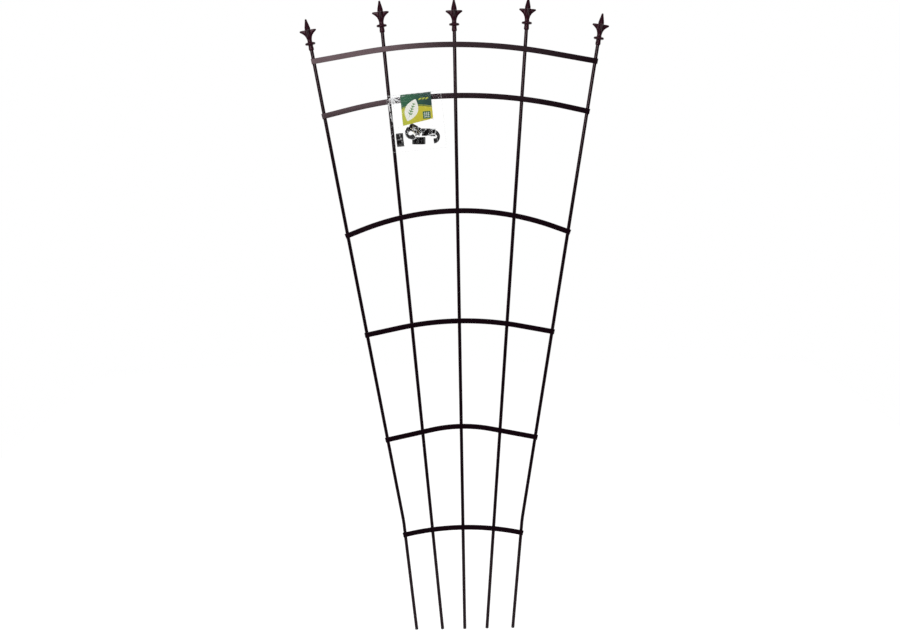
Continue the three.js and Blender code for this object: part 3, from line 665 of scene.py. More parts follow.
# Uprights: a ring of the tube's outside is drawn up its line, round the knee, and given its wall
tubes = {"radius": 4 * mm, "wall": 1 * mm, "sides": 40, "kneeSteps": 8}
footPlugs = {
    "capHeight": 4 * mm,
    "profile": [(0, 0.5), (1.4, 0.5), (1.7, 0.0), (3.2, 0.0), (3.7, 0.25), (4.0, 0.8), (4.0, 3.5),
                (3.8, 3.8), (3.3, 4.0), (2.45, 4.0), (2.45, 6.2), (2.7, 6.5), (2.7, 7.1), (2.45, 7.4),
                (2.45, 9.6), (2.7, 9.9), (2.7, 10.5), (2.45, 10.8), (2.45, 14.2), (1.9, 15.6), (1.6, 16),
                (0, 16)],
}
finials = {
    "length": 68 * mm,
    "boreDepth": 11 * mm,
    "turned": [(0, 11), (4.3, 11), (4.3, 0.4), (4.6, 0), (4.9, 0.15), (5.35, 0.9), (5.7, 2.4), (5.75, 4.4),
               (5.5, 6.8), (5.3, 9.2), (5.2, 10.8), (5.4, 11.4), (6.6, 11.8), (8.8, 12.1), (10.3, 12.6),
               (11.1, 13.4), (11.4, 14.8), (11.1, 16.1), (10.3, 17.0), (8.6, 17.6), (6.6, 18.0), (5.4, 18.6),
               (5.15, 19.6), (5.1, 21.0), (5.2, 23), (5.3, 25.5), (0, 26)],
    "neck": 5.2,
    "neckHeight": 23,
    "leafReach": 18.7,
    "leafRim": 44.4,
    "leafTip": 2.8,
    "valley": 6.0,
    "valleyShare": 0.4,  # of it, at the middle of the rim's top
    "keel": [(0.15, 0.04), (0.3, 0.1), (0.45, 0.19), (0.58, 0.3), (0.7, 0.46), (0.8, 0.62), (0.88, 0.76),
             (0.95, 0.9), (1, 1)],  # shares of height and reach
    "rimTop": [(0.97, 0.0), (0.94, 0.0), (0.8, 0.5), (0.62, 0.5), (0.45, -0.2)],  # share of reach, rise
    "sharp": (3.0, 6.0),  # of the four points, at the neck and at the rim
    "spearRoot": (3.36, 36.5, 40.5),  # its radius, where it starts in the leaves and where it comes out
    "spear": [(0.0, 8.4, 7.0), (0.08, 10.8, 8.2), (0.15, 12.7, 9.0), (0.24, 12.9, 9.0), (0.36, 12.1, 8.5),
              (0.5, 10.3, 7.3), (0.64, 8.4, 6.0), (0.78, 6.4, 4.8), (0.9, 4.9, 3.9), (0.97, 4.1, 3.5),
              (1.0, 2.6, 2.4)],  # share of height, width and depth
    "spearPower": 1.3,  # 1 is a diamond, 2 an oval
    "voxel": 0.26 * mm,
    "smoothRounds": 12,
    "keepShare": 0.2,
}


def tubeHeights(number):  # of the plug's bottom, the tube's two ends and the finial's mouth
    tip = tubeCorners(number)[-1].z
    _, footLean = tubeAt(number, 0)
    _, topLean = tubeAt(number, tip)
    plug = tubes["radius"] * sin(abs(footLean))
    mouth = tip - finials["length"] * cos(topLean)
    return {
        "plug": plug,
        "low": plug + (footPlugs["capHeight"] + lines["seatGap"]) * cos(footLean),
        "mouth": mouth,
        "high": mouth + (finials["boreDepth"] - lines["seatGap"]) * cos(topLean),
    }


def drawTube(number):
    heights = tubeHeights(number)
    here, footLean = tubeAt(number, heights["low"])
    top, topLean = tubeAt(number, heights["high"])
    tube = started(bpy.ops.mesh.primitive_circle_add, vertices=tubes["sides"], radius=tubes["radius"],
                   location=here, rotation=(0, footLean, 0))
    edit()
    corners = tubeCorners(number)
    if len(corners) == 3:
        turn = topLean - footLean
        reach = lines["kneeRadius"] * tan(abs(turn) / 2)
        up = (corners[1] - corners[0]).normalized()
        kneeStart = corners[1] - up * reach
        pull(kneeStart - here)
        sideways = Vector((up.z, 0, -up.x)) * copysign(1, turn)
        spinRound(tubes["kneeSteps"], turn, kneeStart + sideways * lines["kneeRadius"], (0, 1, 0))
        here = corners[1] + (corners[2] - corners[1]).normalized() * reach
    pull(top - here)
    closeUp()
    applied(tube, 'SOLIDIFY', "wall", thickness=tubes["wall"], offset=-1)
    delivered(tube, f"tube_{number}", f"upright_{number}", frameBody, "tube_coat", coated["tubeCoat"])


print("trellis: uprights")
for number in uprightNumbers:
    drawTube(number)

# Rails: a rolled bar's section drawn along its arch, with a weld bead on each side of each tube
rails = {
    "height": 12 * mm,
    "thickness": 3 * mm,
    "edge": 0.5 * mm,  # rolled corners of the bar
    "overhang": 1 * mm,  # bar beyond the outer tube
    "arcSteps": 32,
    "endBevel": 0.35 * mm,
}
railMiddle = -(tubes["radius"] + lines["seatGap"] + rails["thickness"] / 2)
beads = {
    "length": 9.6 * mm,
    "radius": 1.35 * mm,
    "ripple": 0.22 * mm,
    "scallops": 6,
    "stepsEach": 4,
    "sides": 12,
    "startShare": 0.35,
    "taper": 2.2,  # how fast an end reaches its full radius
    "besideTube": 3.75 * mm,
    "behindBar": 3.7 * mm,
}


def makeBead():  # a short weld run along Z
    half = beads["length"] / 2
    bead = startRing(beads["radius"] * beads["startShare"], -half, beads["sides"])
    steps = beads["scallops"] * beads["stepsEach"]
    for step in range(1, steps + 1):
        share = step / steps
        wave = abs(sin(pi * beads["scallops"] * share))
        taper = min(1, beads["startShare"] + beads["taper"] * min(share, 1 - share))
        radius = (beads["radius"] - beads["ripple"] * (1 - wave)) * taper
        ringUp(-half + beads["length"] * share, lambda angle: radius)
    closeUp()
    return bead


def drawRail(number, bead):
    left, right = (crossing(number, tube)[0].x for tube in (1, 5))
    bend = lines["railBends"][number - 1]
    endAngle = radians(lines["railEndDegrees"][number - 1])
    endX = (right - left) / 2 + (tubes["radius"] + rails["overhang"]) * cos(endAngle)
    arcAngle = min(endAngle, asin(min(1, endX / bend)))
    arcX = bend * sin(arcAngle)
    crown = Vector((0, railMiddle, railAt(number, 0)[0]))
    arcStart = crown + Vector((-arcX, 0, -bend * (1 - cos(arcAngle))))
    outAndDown = Vector((endX - arcX, 0, -(endX - arcX) * tan(endAngle)))
    start = arcStart - Vector((outAndDown.x, 0, -outAndDown.z))
    bar = started(bpy.ops.mesh.primitive_plane_add, (rails["height"], rails["thickness"], 1), size=1,
                  location=start, rotation=(0, pi / 2 - arcAngle, 0))
    edit()
    bpy.ops.mesh.bevel(offset=rails["edge"], segments=3, affect='VERTICES')
    bpy.ops.mesh.delete(type='ONLY_FACE')
    selectAll()
    straight = endX > arcX + mm
    if straight:
        pull(arcStart - start)
    spinRound(rails["arcSteps"], 2 * arcAngle, crown - Vector((0, 0, bend)), (0, 1, 0))
    if straight:
        pull(outAndDown)
    selectAll()
    bpy.ops.mesh.fill_holes(sides=0)
    skew = radians(lines["railSkewDegrees"][number - 1])
    bpy.ops.transform.rotate(value=-skew, orient_axis='Y', orient_type='GLOBAL', center_override=crown)
    outward()
    pick('FACE', lambda face: abs(face.normal.x) > 0.9)
    bpy.ops.mesh.bevel(offset=rails["endBevel"], segments=2, affect='EDGES')
    objectMode()
    parts = [bar]
    for tube in uprightNumbers:
        spot, _, lean = crossing(number, tube)
        turned = Matrix.Translation(spot) @ Matrix.Rotation(lean, 4, 'Y')
        for side in (-1, 1):
            beside = Matrix.Translation((side * beads["besideTube"], -beads["behindBar"], 0))
            parts.append(copied(bead, turned @ beside))
    delivered(joined(*parts), f"railBar_{number}", f"rail_{number}", frameBody, "rail_coat",
              coated["railCoat"], sharpDegrees=30, flat=True)


print("trellis: rails")
bead = makeBead()
for number in railNumbers:
    drawRail(number, bead)
removed(bead)


# Finials: one casting, turned below, four dished leaves and a spear above, copied to each tube

def leafOutline(reach, valley, sharpness):  # four points round the axis with valleys between
    def radiusAt(angle):
        quarter = pi / 2
        folded = min(angle % quarter, quarter - angle % quarter)
        fullness = max(0.0, cos(2 * folded)) ** sharpness
        return (valley + (reach - valley) * fullness) * mm
    return radiusAt


def makeLeaves():
    neck, reach, valley = finials["neck"], finials["leafReach"], finials["valley"]
    leaves = startRing(neck * mm, finials["neckHeight"] * mm, sides=96)
    height = finials["leafRim"] - finials["leafTip"] - finials["neckHeight"]
    blunt, sharp = finials["sharp"]
    least = finials["valleyShare"]
    for heightShare, reachShare in finials["keel"]:
        outline = leafOutline(neck + (reach - neck) * reachShare, neck + (valley - neck) * heightShare,
                              blunt + (sharp - blunt) * heightShare)
        ringUp((finials["neckHeight"] + height * heightShare) * mm, outline)
    for share, rise in finials["rimTop"]:
        outline = leafOutline(reach * share, valley * (least + (1 - least) * share), sharp)
        ringUp((finials["leafRim"] + rise) * mm, outline)
    closeUp()
    return leaves


def makeSpear():
    rootRadius, startHeight, rootHeight = finials["spearRoot"]
    spear = startRing(rootRadius * mm, startHeight * mm, sides=48)
    tip = finials["length"] / mm
    power = finials["spearPower"]
    for share, width, depth in finials["spear"]:
        def radiusAt(angle):
            across = abs(cos(angle)) / (width / 2)
            along = abs(sin(angle)) / (depth / 2)
            return mm / (across ** power + along ** power) ** (1 / power)
        ringUp((rootHeight + (tip - rootHeight) * share) * mm, radiusAt)
    closeUp()
    return spear


def makeFinial():
    casting = joined(lathe(finials["turned"], steps=72), makeLeaves(), makeSpear())
    applied(casting, 'REMESH', "casting", mode='VOXEL', voxel_size=finials["voxel"], use_smooth_shade=True)
    applied(casting, 'SMOOTH', "soft edges", factor=0.5, iterations=finials["smoothRounds"])
    return applied(casting, 'DECIMATE', "fewer faces", ratio=finials["keepShare"])


def onEachTube(piece, end, name, node, slotName, material, sharpDegrees=35):
    # a copy at that end of each tube
    for number in uprightNumbers:
        spot, lean = tubeAt(number, tubeHeights(number)[end])
        copy = copied(piece, Matrix.Translation(spot) @ Matrix.Rotation(lean, 4, 'Y'))
        delivered(copy, f"{name}_{number}", f"{node}_{number}", frameBody, slotName, material, sharpDegrees)
    removed(piece)


print("trellis: finials")
onEachTube(makeFinial(), "mouth", "spearFinial", "finial", "finial_coat", coated["finialCoat"],
           sharpDegrees=60)

# Foot plugs: a rounded cap and a ribbed stem in the tube
print("trellis: foot plugs")
footPlug = lathe(footPlugs["profile"], steps=40)
onEachTube(footPlug, "plug", "footCap", "foot_plug", "foot_plastic", coated["footPlastic"])


# The pack of wall fixings hangs from the second rail; its own frame starts at the hinge
swing = frame["joints"][0]
packTilt = asin(swing["axis"][2])
packFrame = Matrix.Translation(swing["pos_m"]) @ Matrix.Rotation(packTilt, 4, 'Y')
bag = {
    "width": 122.51 * mm,
    "topRoom": 4 * mm,
    "drop": 122.03 * mm,
    "depth": 34.2 * mm,
    "mouth": 3 * mm,
    "seam": 1.4 * mm,
    "seamWidth": 3 * mm,
    "fullFrom": 67.1 * mm,  # full depth below this
    "roundness": 8,
}

# Wall clips: a half-round saddle, hollow behind, with a snap channel, two rims and a screw hole
clips = {
    "radius": 15 * mm,
    "width": 16 * mm,
    "wall": 2.4 * mm,
    "cheek": 2 * mm,
    "snap": 4.2 * mm,
    "hole": 2 * mm,
    "holeFloor": 11.1 * mm,  # the hole is closed by a thin skin that the first screw breaks
    "sinkDepth": 3 * mm,
    "sinkRadii": (1.6 * mm, 4.4 * mm),
    "rimWidth": 2.6 * mm,
    "rimSlope": 0.5 * mm,
    "rimHeight": 0.7 * mm,
    "edge": 0.45 * mm,
    "placed": {  # degrees in the plane of the bag, and what faces the front
        "wall_clip_1": (90, "back"),
        "wall_clip_2": (-6, "back"),
        "wall_clip_3": (-90, "end"),
        "wall_clip_4": (-36, "hollow"),
        "wall_clip_5": (120, "end"),
        "wall_clip_6": (-8, "hollow"),
    },
}
clipTurns = {"back": pi / 2, "hollow": -pi / 2, "end": 0}
lyingAlongY = (pi / 2, 0, 0)


def halfRound(radius, width, lift=0.0):  # a solid half cylinder along Y, its round back towards +Z
    piece = started(bpy.ops.mesh.primitive_cylinder_add, vertices=72, radius=radius, depth=width,
                    rotation=lyingAlongY)
    edit()
    cutAlong((0, 0, 0), (0, 0, 1), use_fill=True, clear_inner=True)
    selectAll()
    bpy.ops.transform.translate(value=(0, 0, lift))
    objectMode()
    return piece


def makeClip():
    radius, width, snap = clips["radius"], clips["width"], clips["snap"]
    hole, floor = clips["hole"], clips["holeFloor"]
    clip = halfRound(radius, width)
    edit()
    rim = width / 2 - clips["rimWidth"]
    for y in (-rim, clips["rimSlope"] - rim, rim - clips["rimSlope"], rim):
        cutAlong((0, y, 0), (0, 1, 0))
    pick('VERT', lambda vert: abs(vert.co.y) < rim - clips["rimSlope"] / 2 and vert.co.z > 0.1 * mm)
    inner = (radius - clips["rimHeight"]) / radius
    bpy.ops.transform.resize(value=(inner, 1, inner), center_override=(0, 0, 0))
    objectMode()
    cutAway(clip, halfRound(radius - clips["wall"], width - 2 * clips["cheek"], -clips["wall"] / 4))
    cutAway(clip, drawn(bpy.ops.mesh.primitive_cylinder_add, vertices=40, radius=snap, depth=2 * width,
                        location=(0, 0, snap), rotation=lyingAlongY))
    cutBoxes(clip, (2 * snap, 2 * width, 2 * snap), 0)
    cutAway(clip, drawn(bpy.ops.mesh.primitive_cylinder_add, vertices=32, radius=hole, depth=radius / 2,
                        location=(radius / 2, 0, floor + radius / 4)))
    inmost, outmost = clips["sinkRadii"]
    cutAway(clip, drawn(bpy.ops.mesh.primitive_cone_add, vertices=32, radius1=inmost, radius2=outmost,
                        depth=clips["sinkDepth"],
                        location=(radius / 2, 0, floor + clips["sinkDepth"] / 2)))
    return applied(clip, 'BEVEL', "moulded edges", width=clips["edge"], segments=2, limit_method='ANGLE',
                   angle_limit=radians(40))


def laid(piece, name, node, turn, slotName, material, **shading):  # a copy laid in the pack
    copy = seated(copied(piece, turn), node)
    delivered(copy, name, node, packBody, slotName, material, **shading)


print("trellis: wall clips")
clip = makeClip()
for node, (degrees, showing) in clips["placed"].items():
    turn = Matrix.Rotation(packTilt - radians(degrees), 4, 'Y')
    turn @= Matrix.Rotation(clipTurns[showing], 4, 'X')
    laid(clip, "saddle_" + node[-1], node, turn, "clip_plastic", coated["clipPlastic"], flat=True)
removed(clip)


# Screws: a rolled thread on a pointed shank, a countersunk head with a cross recess
screws = {
    "length": 25,
    "headHeight": 2.4,
    "shank": 1.75,
    "root": 1.2,
    "tip": 0.12,
    "pitch": 1.35,
    "point": 5,
    "pointStart": 0.3,
    "crest": 2.2,  # steepness of the thread's flanks
    "runOut": (1.0, 1.5),  # below the head, and over this length, the thread fades into a thicker neck
    "neck": 0.25,
    "sides": 24,
    "stepsPerTurn": 8,
    "headRings": [(-2.25, 1.9), (-0.5, 3.4), (-0.35, 3.5), (-0.1, 3.35), (0, 2.6)],  # height from the top
    "recess": (3.6 * mm, 0.75 * mm, 3.0 * mm),
    "degrees": {"screw_1": -60},
}
wallPlugs = {
    "profile": [(0, -12), (1.3, -12), (1.7, -11.6), (2.8, -9.0), (2.3, -8.6), (2.3, -7.4), (2.8, -6.0),
                (2.3, -5.6), (2.3, -4.4), (2.8, -3.0), (2.3, -2.6), (2.3, -1.4), (2.8, 0.0), (2.3, 0.4),
                (2.3, 3.0), (2.45, 9.0), (2.8, 11.0), (2.8, 12.0), (1.5, 12.0), (1.3, 11.6), (1.3, -4),
                (0, -4)],
    "split": (8 * mm, 0.7 * mm, 14 * mm),
    "splitMiddle": -5.5 * mm,
    "degrees": {"wall_plug_1": -52},
}
crosswise = (0, pi / 2)


def threadRadius(height, angle):  # height up from the middle, in millimetres
    half = screws["length"] / 2
    along = height + half
    reach = min(1.0, (along + screws["pointStart"]) / screws["point"])
    crest = abs(((along / screws["pitch"] - angle / (2 * pi)) % 1.0) * 2 - 1)
    below, over = screws["runOut"]
    fade = max(0.0, min(1.0, (half - screws["headHeight"] - below - height) / over))
    depth = (screws["shank"] - screws["root"]) * fade
    flank = max(0.0, 1 - screws["crest"] * (1 - crest))
    radius = screws["root"] + depth * flank + (1 - fade) * screws["neck"]
    return max(screws["tip"], reach * radius)


def makeScrew():
    half = screws["length"] / 2
    screw = startRing(screws["tip"] * mm, -half * mm, screws["sides"])
    shank = screws["length"] - screws["headHeight"]
    steps = int(shank / screws["pitch"] * screws["stepsPerTurn"])
    for step in range(1, steps + 1):
        height = -half + shank * step / steps
        ringUp(height * mm, lambda angle: threadRadius(height, angle) * mm)
    for fromTop, radius in screws["headRings"]:
        ringUp((half + fromTop) * mm, lambda angle: radius * mm)
    closeUp()
    cutBoxes(screw, screws["recess"], half * mm, crosswise)
    return screw


def layStick(stick, name, node, values, slotName, material):
    degrees = values["degrees"].get(node, 0)
    turn = Matrix.Rotation(packTilt + pi / 2 - radians(degrees), 4, 'Y')
    laid(stick, name, node, turn, slotName, material, sharpDegrees=40)


print("trellis: screws and wall plugs")
screw = makeScrew()
wallPlug = lathe(wallPlugs["profile"], steps=28)
cutBoxes(wallPlug, wallPlugs["split"], wallPlugs["splitMiddle"], crosswise)
for number in range(1, 7):
    layStick(screw, f"woodScrew_{number}", f"screw_{number}", screws, "screw_steel", zincPlate)
    layStick(wallPlug, f"ribbedPlug_{number}", f"wall_plug_{number}", wallPlugs, "plug_plastic",
             coated["plugPlastic"])
removed(screw)
removed(wallPlug)


def bagDepth(x, down):  # the room the bag has in front of its back film
    across = max(0.0, 1 - abs(2 * x / bag["width"] - 1) ** bag["roundness"])
    if down < bag["fullFrom"]:
        share = (down + bag["topRoom"]) / (bag["fullFrom"] + bag["topRoom"])
        fullness = (bag["mouth"] + (bag["depth"] - bag["mouth"]) * share) / bag["depth"]
    else:
        share = (down - bag["fullFrom"]) / (bag["drop"] - bag["fullFrom"])
        fullness = max(0.0, 1 - share ** bag["roundness"])
    return bag["seam"] + (bag["depth"] - bag["seam"]) * across * fullness


# Card: a curled sheet of board, its print on its own map
cardSheet = {
    "left": 31.5 * mm,
    "leanAt": 99.5 * mm,  # the edge where the bag is shallowest
    "topDown": -2.6 * mm,
    "bottomDown": 69.4 * mm,
    "rightHeight": 62 * mm,
    "thickness": 0.45 * mm,
    "curl": 0.9 * mm,
    "bow": (0.6, 0.35, 0.4),  # shares of the curl across, diagonally and down the card
    "curlBack": 1.2 * mm,
    "seat": 1.9 * mm,
    "room": 0.8 * mm,  # film and gap in front of it
}


def makeCard():
    wide, high = card["width"] * mm, card["height"] * mm
    sheet = started(bpy.ops.mesh.primitive_grid_add, (wide, high, 1), x_subdivisions=34, y_subdivisions=35,
                    size=1, rotation=lyingAlongY)
    topDepth, bottomDepth = (bagDepth(cardSheet["leanAt"], cardSheet[key]) - cardSheet["room"]
                             for key in ("topDown", "bottomDown"))
    lean = atan2(bottomDepth - topDepth, cardSheet["bottomDown"] - cardSheet["topDown"])
    bowAcross, bowDiagonal, bowDown = cardSheet["bow"]
    for vert in sheet.data.vertices:
        x, down = vert.co.x + wide / 2, high / 2 - vert.co.z
        down *= 1 + (cardSheet["rightHeight"] / high - 1) * x / wide
        across, along = x / wide * 2 - 1, down / high * 2 - 1
        bow = across * across * bowAcross + along * across * bowDiagonal + bowDown * along * along
        vert.co = (x, cardSheet["curl"] * bow - cardSheet["curlBack"], -down)
    layer = sheet.data.uv_layers[0]
    layer.name = "print"
    for loop in sheet.data.loops:
        co = sheet.data.vertices[loop.vertex_index].co
        layer.data[loop.index].uv = (co.x / wide, 1 + co.z / high)
    sheet.data.materials.append(printedCard)
    sheet.data.materials.append(cardBoard)
    applied(sheet, 'SOLIDIFY', "board", thickness=cardSheet["thickness"], offset=-1, material_offset=1,
            material_offset_rim=1)
    corner = (cardSheet["left"] - bag["width"] / 2, cardSheet["seat"] - topDepth, -cardSheet["topDown"])
    sheet.matrix_world = packFrame @ Matrix.Translation(corner) @ Matrix.Rotation(-lean, 4, 'X')
    delivered(sheet, "printedSheet", "header_card", packBody, "printed_card", sharpDegrees=50)


print("trellis: card")
makeCard()


# Bag: the front film is stretched over what it holds, and creased where it is slack
pouch = {
    "columns": 78,
    "rows": 80,
    "clearance": 0.3 * mm,
    "filmRoom": 0.15 * mm,
    "startDepth": 14 * mm,
    "relaxRounds": 240,
    "puff": 0.006 * mm,
    "seamDepth": 0.5 * mm,
    "slackWidth": 6 * mm,
    "creaseDepth": 1.5 * mm,
    "creaseSize": 16 * mm,
    "creases": [(1, 0.45, 1, 2.3, 0.6), (0.5, 1, 0.6, 7.9, 0.4)],  # stretch in x and z, size, seed, share
    "sway": (30 * mm, 7 * mm),  # the creases' bend: how long and how far
    "tiedCorner": (9 * mm, 2 * mm),  # from the left edge, above the hinge
    "pullDepth": 1.8 * mm,  # folds that fan out from the tied corner
    "pullReach": 46 * mm,
    "pullStart": 6 * mm,
    "pullFolds": 15,
    "ruffle": 1.6 * mm,
    "ruffleWaves": (0.55, 0.17),  # per column, the second one sways the first
    "ruffleFade": 8,  # columns
    "back": (0.1 * mm, 0.25 * mm, 14 * mm, 4.4),  # the back film's place, and its creases' depth, size, seed
    "foldDegrees": 26,
    "pleats": [  # from, to, half width and sharpness, in millimetres from the middle of the hinge; along each, the film also gets a painted glare streak
        ((-57.6, -10), (-55.6, -32), 1.9, 1.0),
        ((-55.6, -32), (-52.2, -56), 1.6, 0.9),
        ((-16, -83), (10, -86), 1.3, 0.8),
        ((22, -90), (37, -89), 1.5, 1.0),
        ((-8, -66), (-5, -80), 1.2, 0.7),
        ((-22, -74), (-17, -88), 1.1, 0.7),
        ((-40, -80), (-37, -96), 1.2, 0.7),
        ((28, -80), (44, -77), 0.9, 0.6),
    ],
    "pleatDepth": 1.4 * mm,
    "contents": ("saddle_", "woodScrew_", "ribbedPlug_", "printedSheet"),
}
bagHeight = bag["topRoom"] + bag["drop"]


def contentsTree():  # everything in the bag, in the pack's own frame
    toPack = packFrame.inverted()
    verts, faces = [], []
    for piece in bpy.context.scene.objects:
        if piece.type == 'MESH' and piece.name.startswith(pouch["contents"]):
            first = len(verts)
            verts += [toPack @ vert.co for vert in piece.data.vertices]
            faces += [[first + index for index in face.vertices] for face in piece.data.polygons]
    return BVHTree.FromPolygons(verts, faces)


def pressedOut(tree, x, z, stepX, stepZ):  # how far the contents push the film out at a place
    farOut = 60 * mm
    deepest = 0.0
    for shiftX in (-0.5, 0, 0.5):
        for shiftZ in (-0.5, 0, 0.5):
            start = Vector((x + shiftX * stepX, -farOut, z + shiftZ * stepZ))
            hit = tree.ray_cast(start, Vector((0, 1, 0)), farOut)[0]
            if hit:
                deepest = max(deepest, -hit.y)
    return deepest + pouch["clearance"] if deepest else 0.0


def noiseOn(x, z, size, seed):
    return noise.noise(Vector((x / size, z / size, seed)))


def ridged(x, z, size, seed):  # 0 in the flats, 1 on the creases
    return max(0.0, 1 - abs(noiseOn(x, z, size, seed)) * 5) ** 1.5


def pleatAt(x, z):  # 1 on a pleat's ridge, 0 away from it
    best = 0.0
    for (fromX, fromZ), (toX, toZ), halfWidth, sharpness in pouch["pleats"]:
        run = Vector((toX - fromX, toZ - fromZ))
        offset = Vector((x / mm - fromX, z / mm - fromZ))
        share = min(1.0, max(0.0, offset.dot(run) / run.length_squared))
        away = (offset - run * share).length / halfWidth
        best = max(best, sharpness * max(0.0, 1 - away) * min(1.0, 6 * share, 6 * (1 - share) + 0.3))
    return best


def slackFolds(x, z):  # creases of a slack film, and the folds that pull towards the tied corner
    swayLength, swayReach = pouch["sway"]
    bend = noiseOn(x, z, swayLength, 5.1) * swayReach
    crease = 0.0
    for stretchX, stretchZ, share, seed, weight in pouch["creases"]:
        placeX, placeZ = (x + bend) * stretchX, (z - bend) * stretchZ
        crease += ridged(placeX, placeZ, pouch["creaseSize"] * share, seed) * weight
        bend = -bend
    fromLeft, up = pouch["tiedCorner"]
    awayX, awayZ = x - fromLeft + bag["width"] / 2, z - up
    away = hypot(awayX, awayZ)
    angle = atan2(-awayZ, awayX)
    fan = max(0.0, sin(angle * pouch["pullFolds"] + noiseOn(x, z, 20 * mm, 1.0) * 2)) ** 2
    pulled = fan * exp(-away / pouch["pullReach"]) * min(1, away / pouch["pullStart"])
    return pouch["creaseDepth"] * crease + pouch["pullDepth"] * pulled + pouch["pleatDepth"] * pleatAt(x, z)


def filmDepths():  # rows of depths, counted from the bag's back, after the film has drawn tight
    columns, rows = pouch["columns"], pouch["rows"]
    stepX, stepZ = bag["width"] / columns, bagHeight / rows
    middle = bag["width"] / 2
    tree = contentsTree()
    pressed, room, depth = [], [], []
    for row in range(rows + 1):
        down = row * stepZ - bag["topRoom"]
        places = [column * stepX for column in range(columns + 1)]
        room.append([bagDepth(x, down) - pouch["filmRoom"] for x in places])
        pressed.append([pressedOut(tree, x - middle, -down, stepX, stepZ) for x in places])
        depth.append([min(most, pouch["startDepth"]) for most in room[-1]])
        depth[row][0] = depth[row][columns] = pouch["seamDepth"]
    depth[rows] = [pouch["seamDepth"]] * (columns + 1)
    wave, swayWave = pouch["ruffleWaves"]
    fade = pouch["ruffleFade"]
    for column in range(columns + 1):
        ruffle = 0.5 + 0.5 * sin(column * wave + 2 * sin(column * swayWave))
        ruffle *= min(1, column / fade, (columns - column) / fade)
        depth[0][column] = pouch["seamDepth"] + pouch["ruffle"] * ruffle
    inside = [(row, column) for row in range(1, rows) for column in range(1, columns)]
    for _ in range(pouch["relaxRounds"]):
        for row, column in inside:
            here = depth[row]
            above, below = depth[row - 1][column], depth[row + 1][column]
            value = (above + below + here[column - 1] + here[column + 1]) / 4 + pouch["puff"]
            here[column] = min(max(value, pressed[row][column]), room[row][column])
    for row, column in inside:
        x, down = column * stepX, row * stepZ - bag["topRoom"]
        edge = min(x, bag["width"] - x, bag["drop"] - down)
        slack = min(1, max(0, (edge - bag["seamWidth"]) / pouch["slackWidth"]))
        value = depth[row][column] + slackFolds(x - middle, -down) * slack
        depth[row][column] = min(max(value, pressed[row][column]), room[row][column])
    return depth


def markFolds(piece, fullDegrees, pleatOf):  # attributes: 1 where the surface turns sharply, or on a pleat; the film paints its glints and glare there
    mesh = bmesh.new()
    mesh.from_mesh(piece.data)
    mesh.normal_update()
    fold, pleat = (mesh.verts.layers.float.new(label) for label in ("fold", "pleat"))
    for vert in mesh.verts:
        turns = [edge.calc_face_angle(0.0) for edge in vert.link_edges]
        vert[fold] = min(1.0, sum(turns) / len(turns) / radians(fullDegrees))
        vert[pleat] = pleatOf(vert.co)
    mesh.to_mesh(piece.data)
    mesh.free()


def makeBag():
    depths = filmDepths()
    columns, rows = pouch["columns"], pouch["rows"]
    front = started(bpy.ops.mesh.primitive_grid_add, (bag["width"], bagHeight, 1), x_subdivisions=columns,
                    y_subdivisions=rows, size=1, rotation=lyingAlongY,
                    location=(0, 0, (bag["topRoom"] - bag["drop"]) / 2))
    back = copied(front, Matrix.Identity(4))
    backDepth, creaseDepth, size, seed = pouch["back"]
    for sheet in (front, back):
        for vert in sheet.data.vertices:
            column = round((vert.co.x / bag["width"] + 0.5) * columns)
            row = round((bag["topRoom"] - vert.co.z) / bagHeight * rows)
            onEdge = column in (0, columns) or row in (0, rows)
            if sheet is front or onEdge:
                vert.co.y = -depths[row][column]
            else:
                vert.co.y = -backDepth - creaseDepth * ridged(vert.co.x, vert.co.z, size, seed)
    film = joined(front, back)
    edit()
    closeUp()
    markFolds(film, pouch["foldDegrees"], lambda co: pleatAt(co.x, co.z) if co.y < -mm else 0.0)
    applied(film, 'SUBSURF', "smooth film", levels=1, render_levels=1)
    film.matrix_world = packFrame
    delivered(film, "clearPouch", "clear_bag", packBody, "clear_film", filmMaterial("bagFilm"),
              sharpDegrees=70)


print("trellis: bag")
makeBag()


# Tie: crumpled film round the rail beside the crossing, and two twisted strands across it
tie = {
    "length": 21 * mm,
    "fromTube": 4.4 * mm,
    "aroundSteps": 64,
    "alongSteps": 34,
    "gap": 0.25 * mm,
    "crumple": 0.9 * mm,
    "lift": 0.15 * mm,
    "squareness": 5,  # of the wound film's section: 2 is round
    "waves": (9, 5, 1.1, 0.42),  # how often it crumples up, deep and along, and all together
    "foldDegrees": 60,
    "unevenEnds": 1.3 * mm,
    "strandReach": 8.4 * mm,  # diagonally, round the corners of rail and tube
    "strandDepth": 6.75 * mm,
    "strandMiddle": -1.95 * mm,
    "strandWidth": 1.9 * mm,
    "strandThickness": 0.4 * mm,
    "strands": [(52, 0.4), (-48, 2.1)],  # degrees and seed
    "drawnRadius": 10 * mm,
    "twists": 3,
    "pinch": (0.65, 0.45),  # a strand's mean width, and how much it changes
    "crinkle": (0.3 * mm, 5, 7),  # depth, and how often across and along
    "standOff": 0.5 * mm,
    "wall": 0.12 * mm,
}
tieSpot = crossing(2, 2)[0]


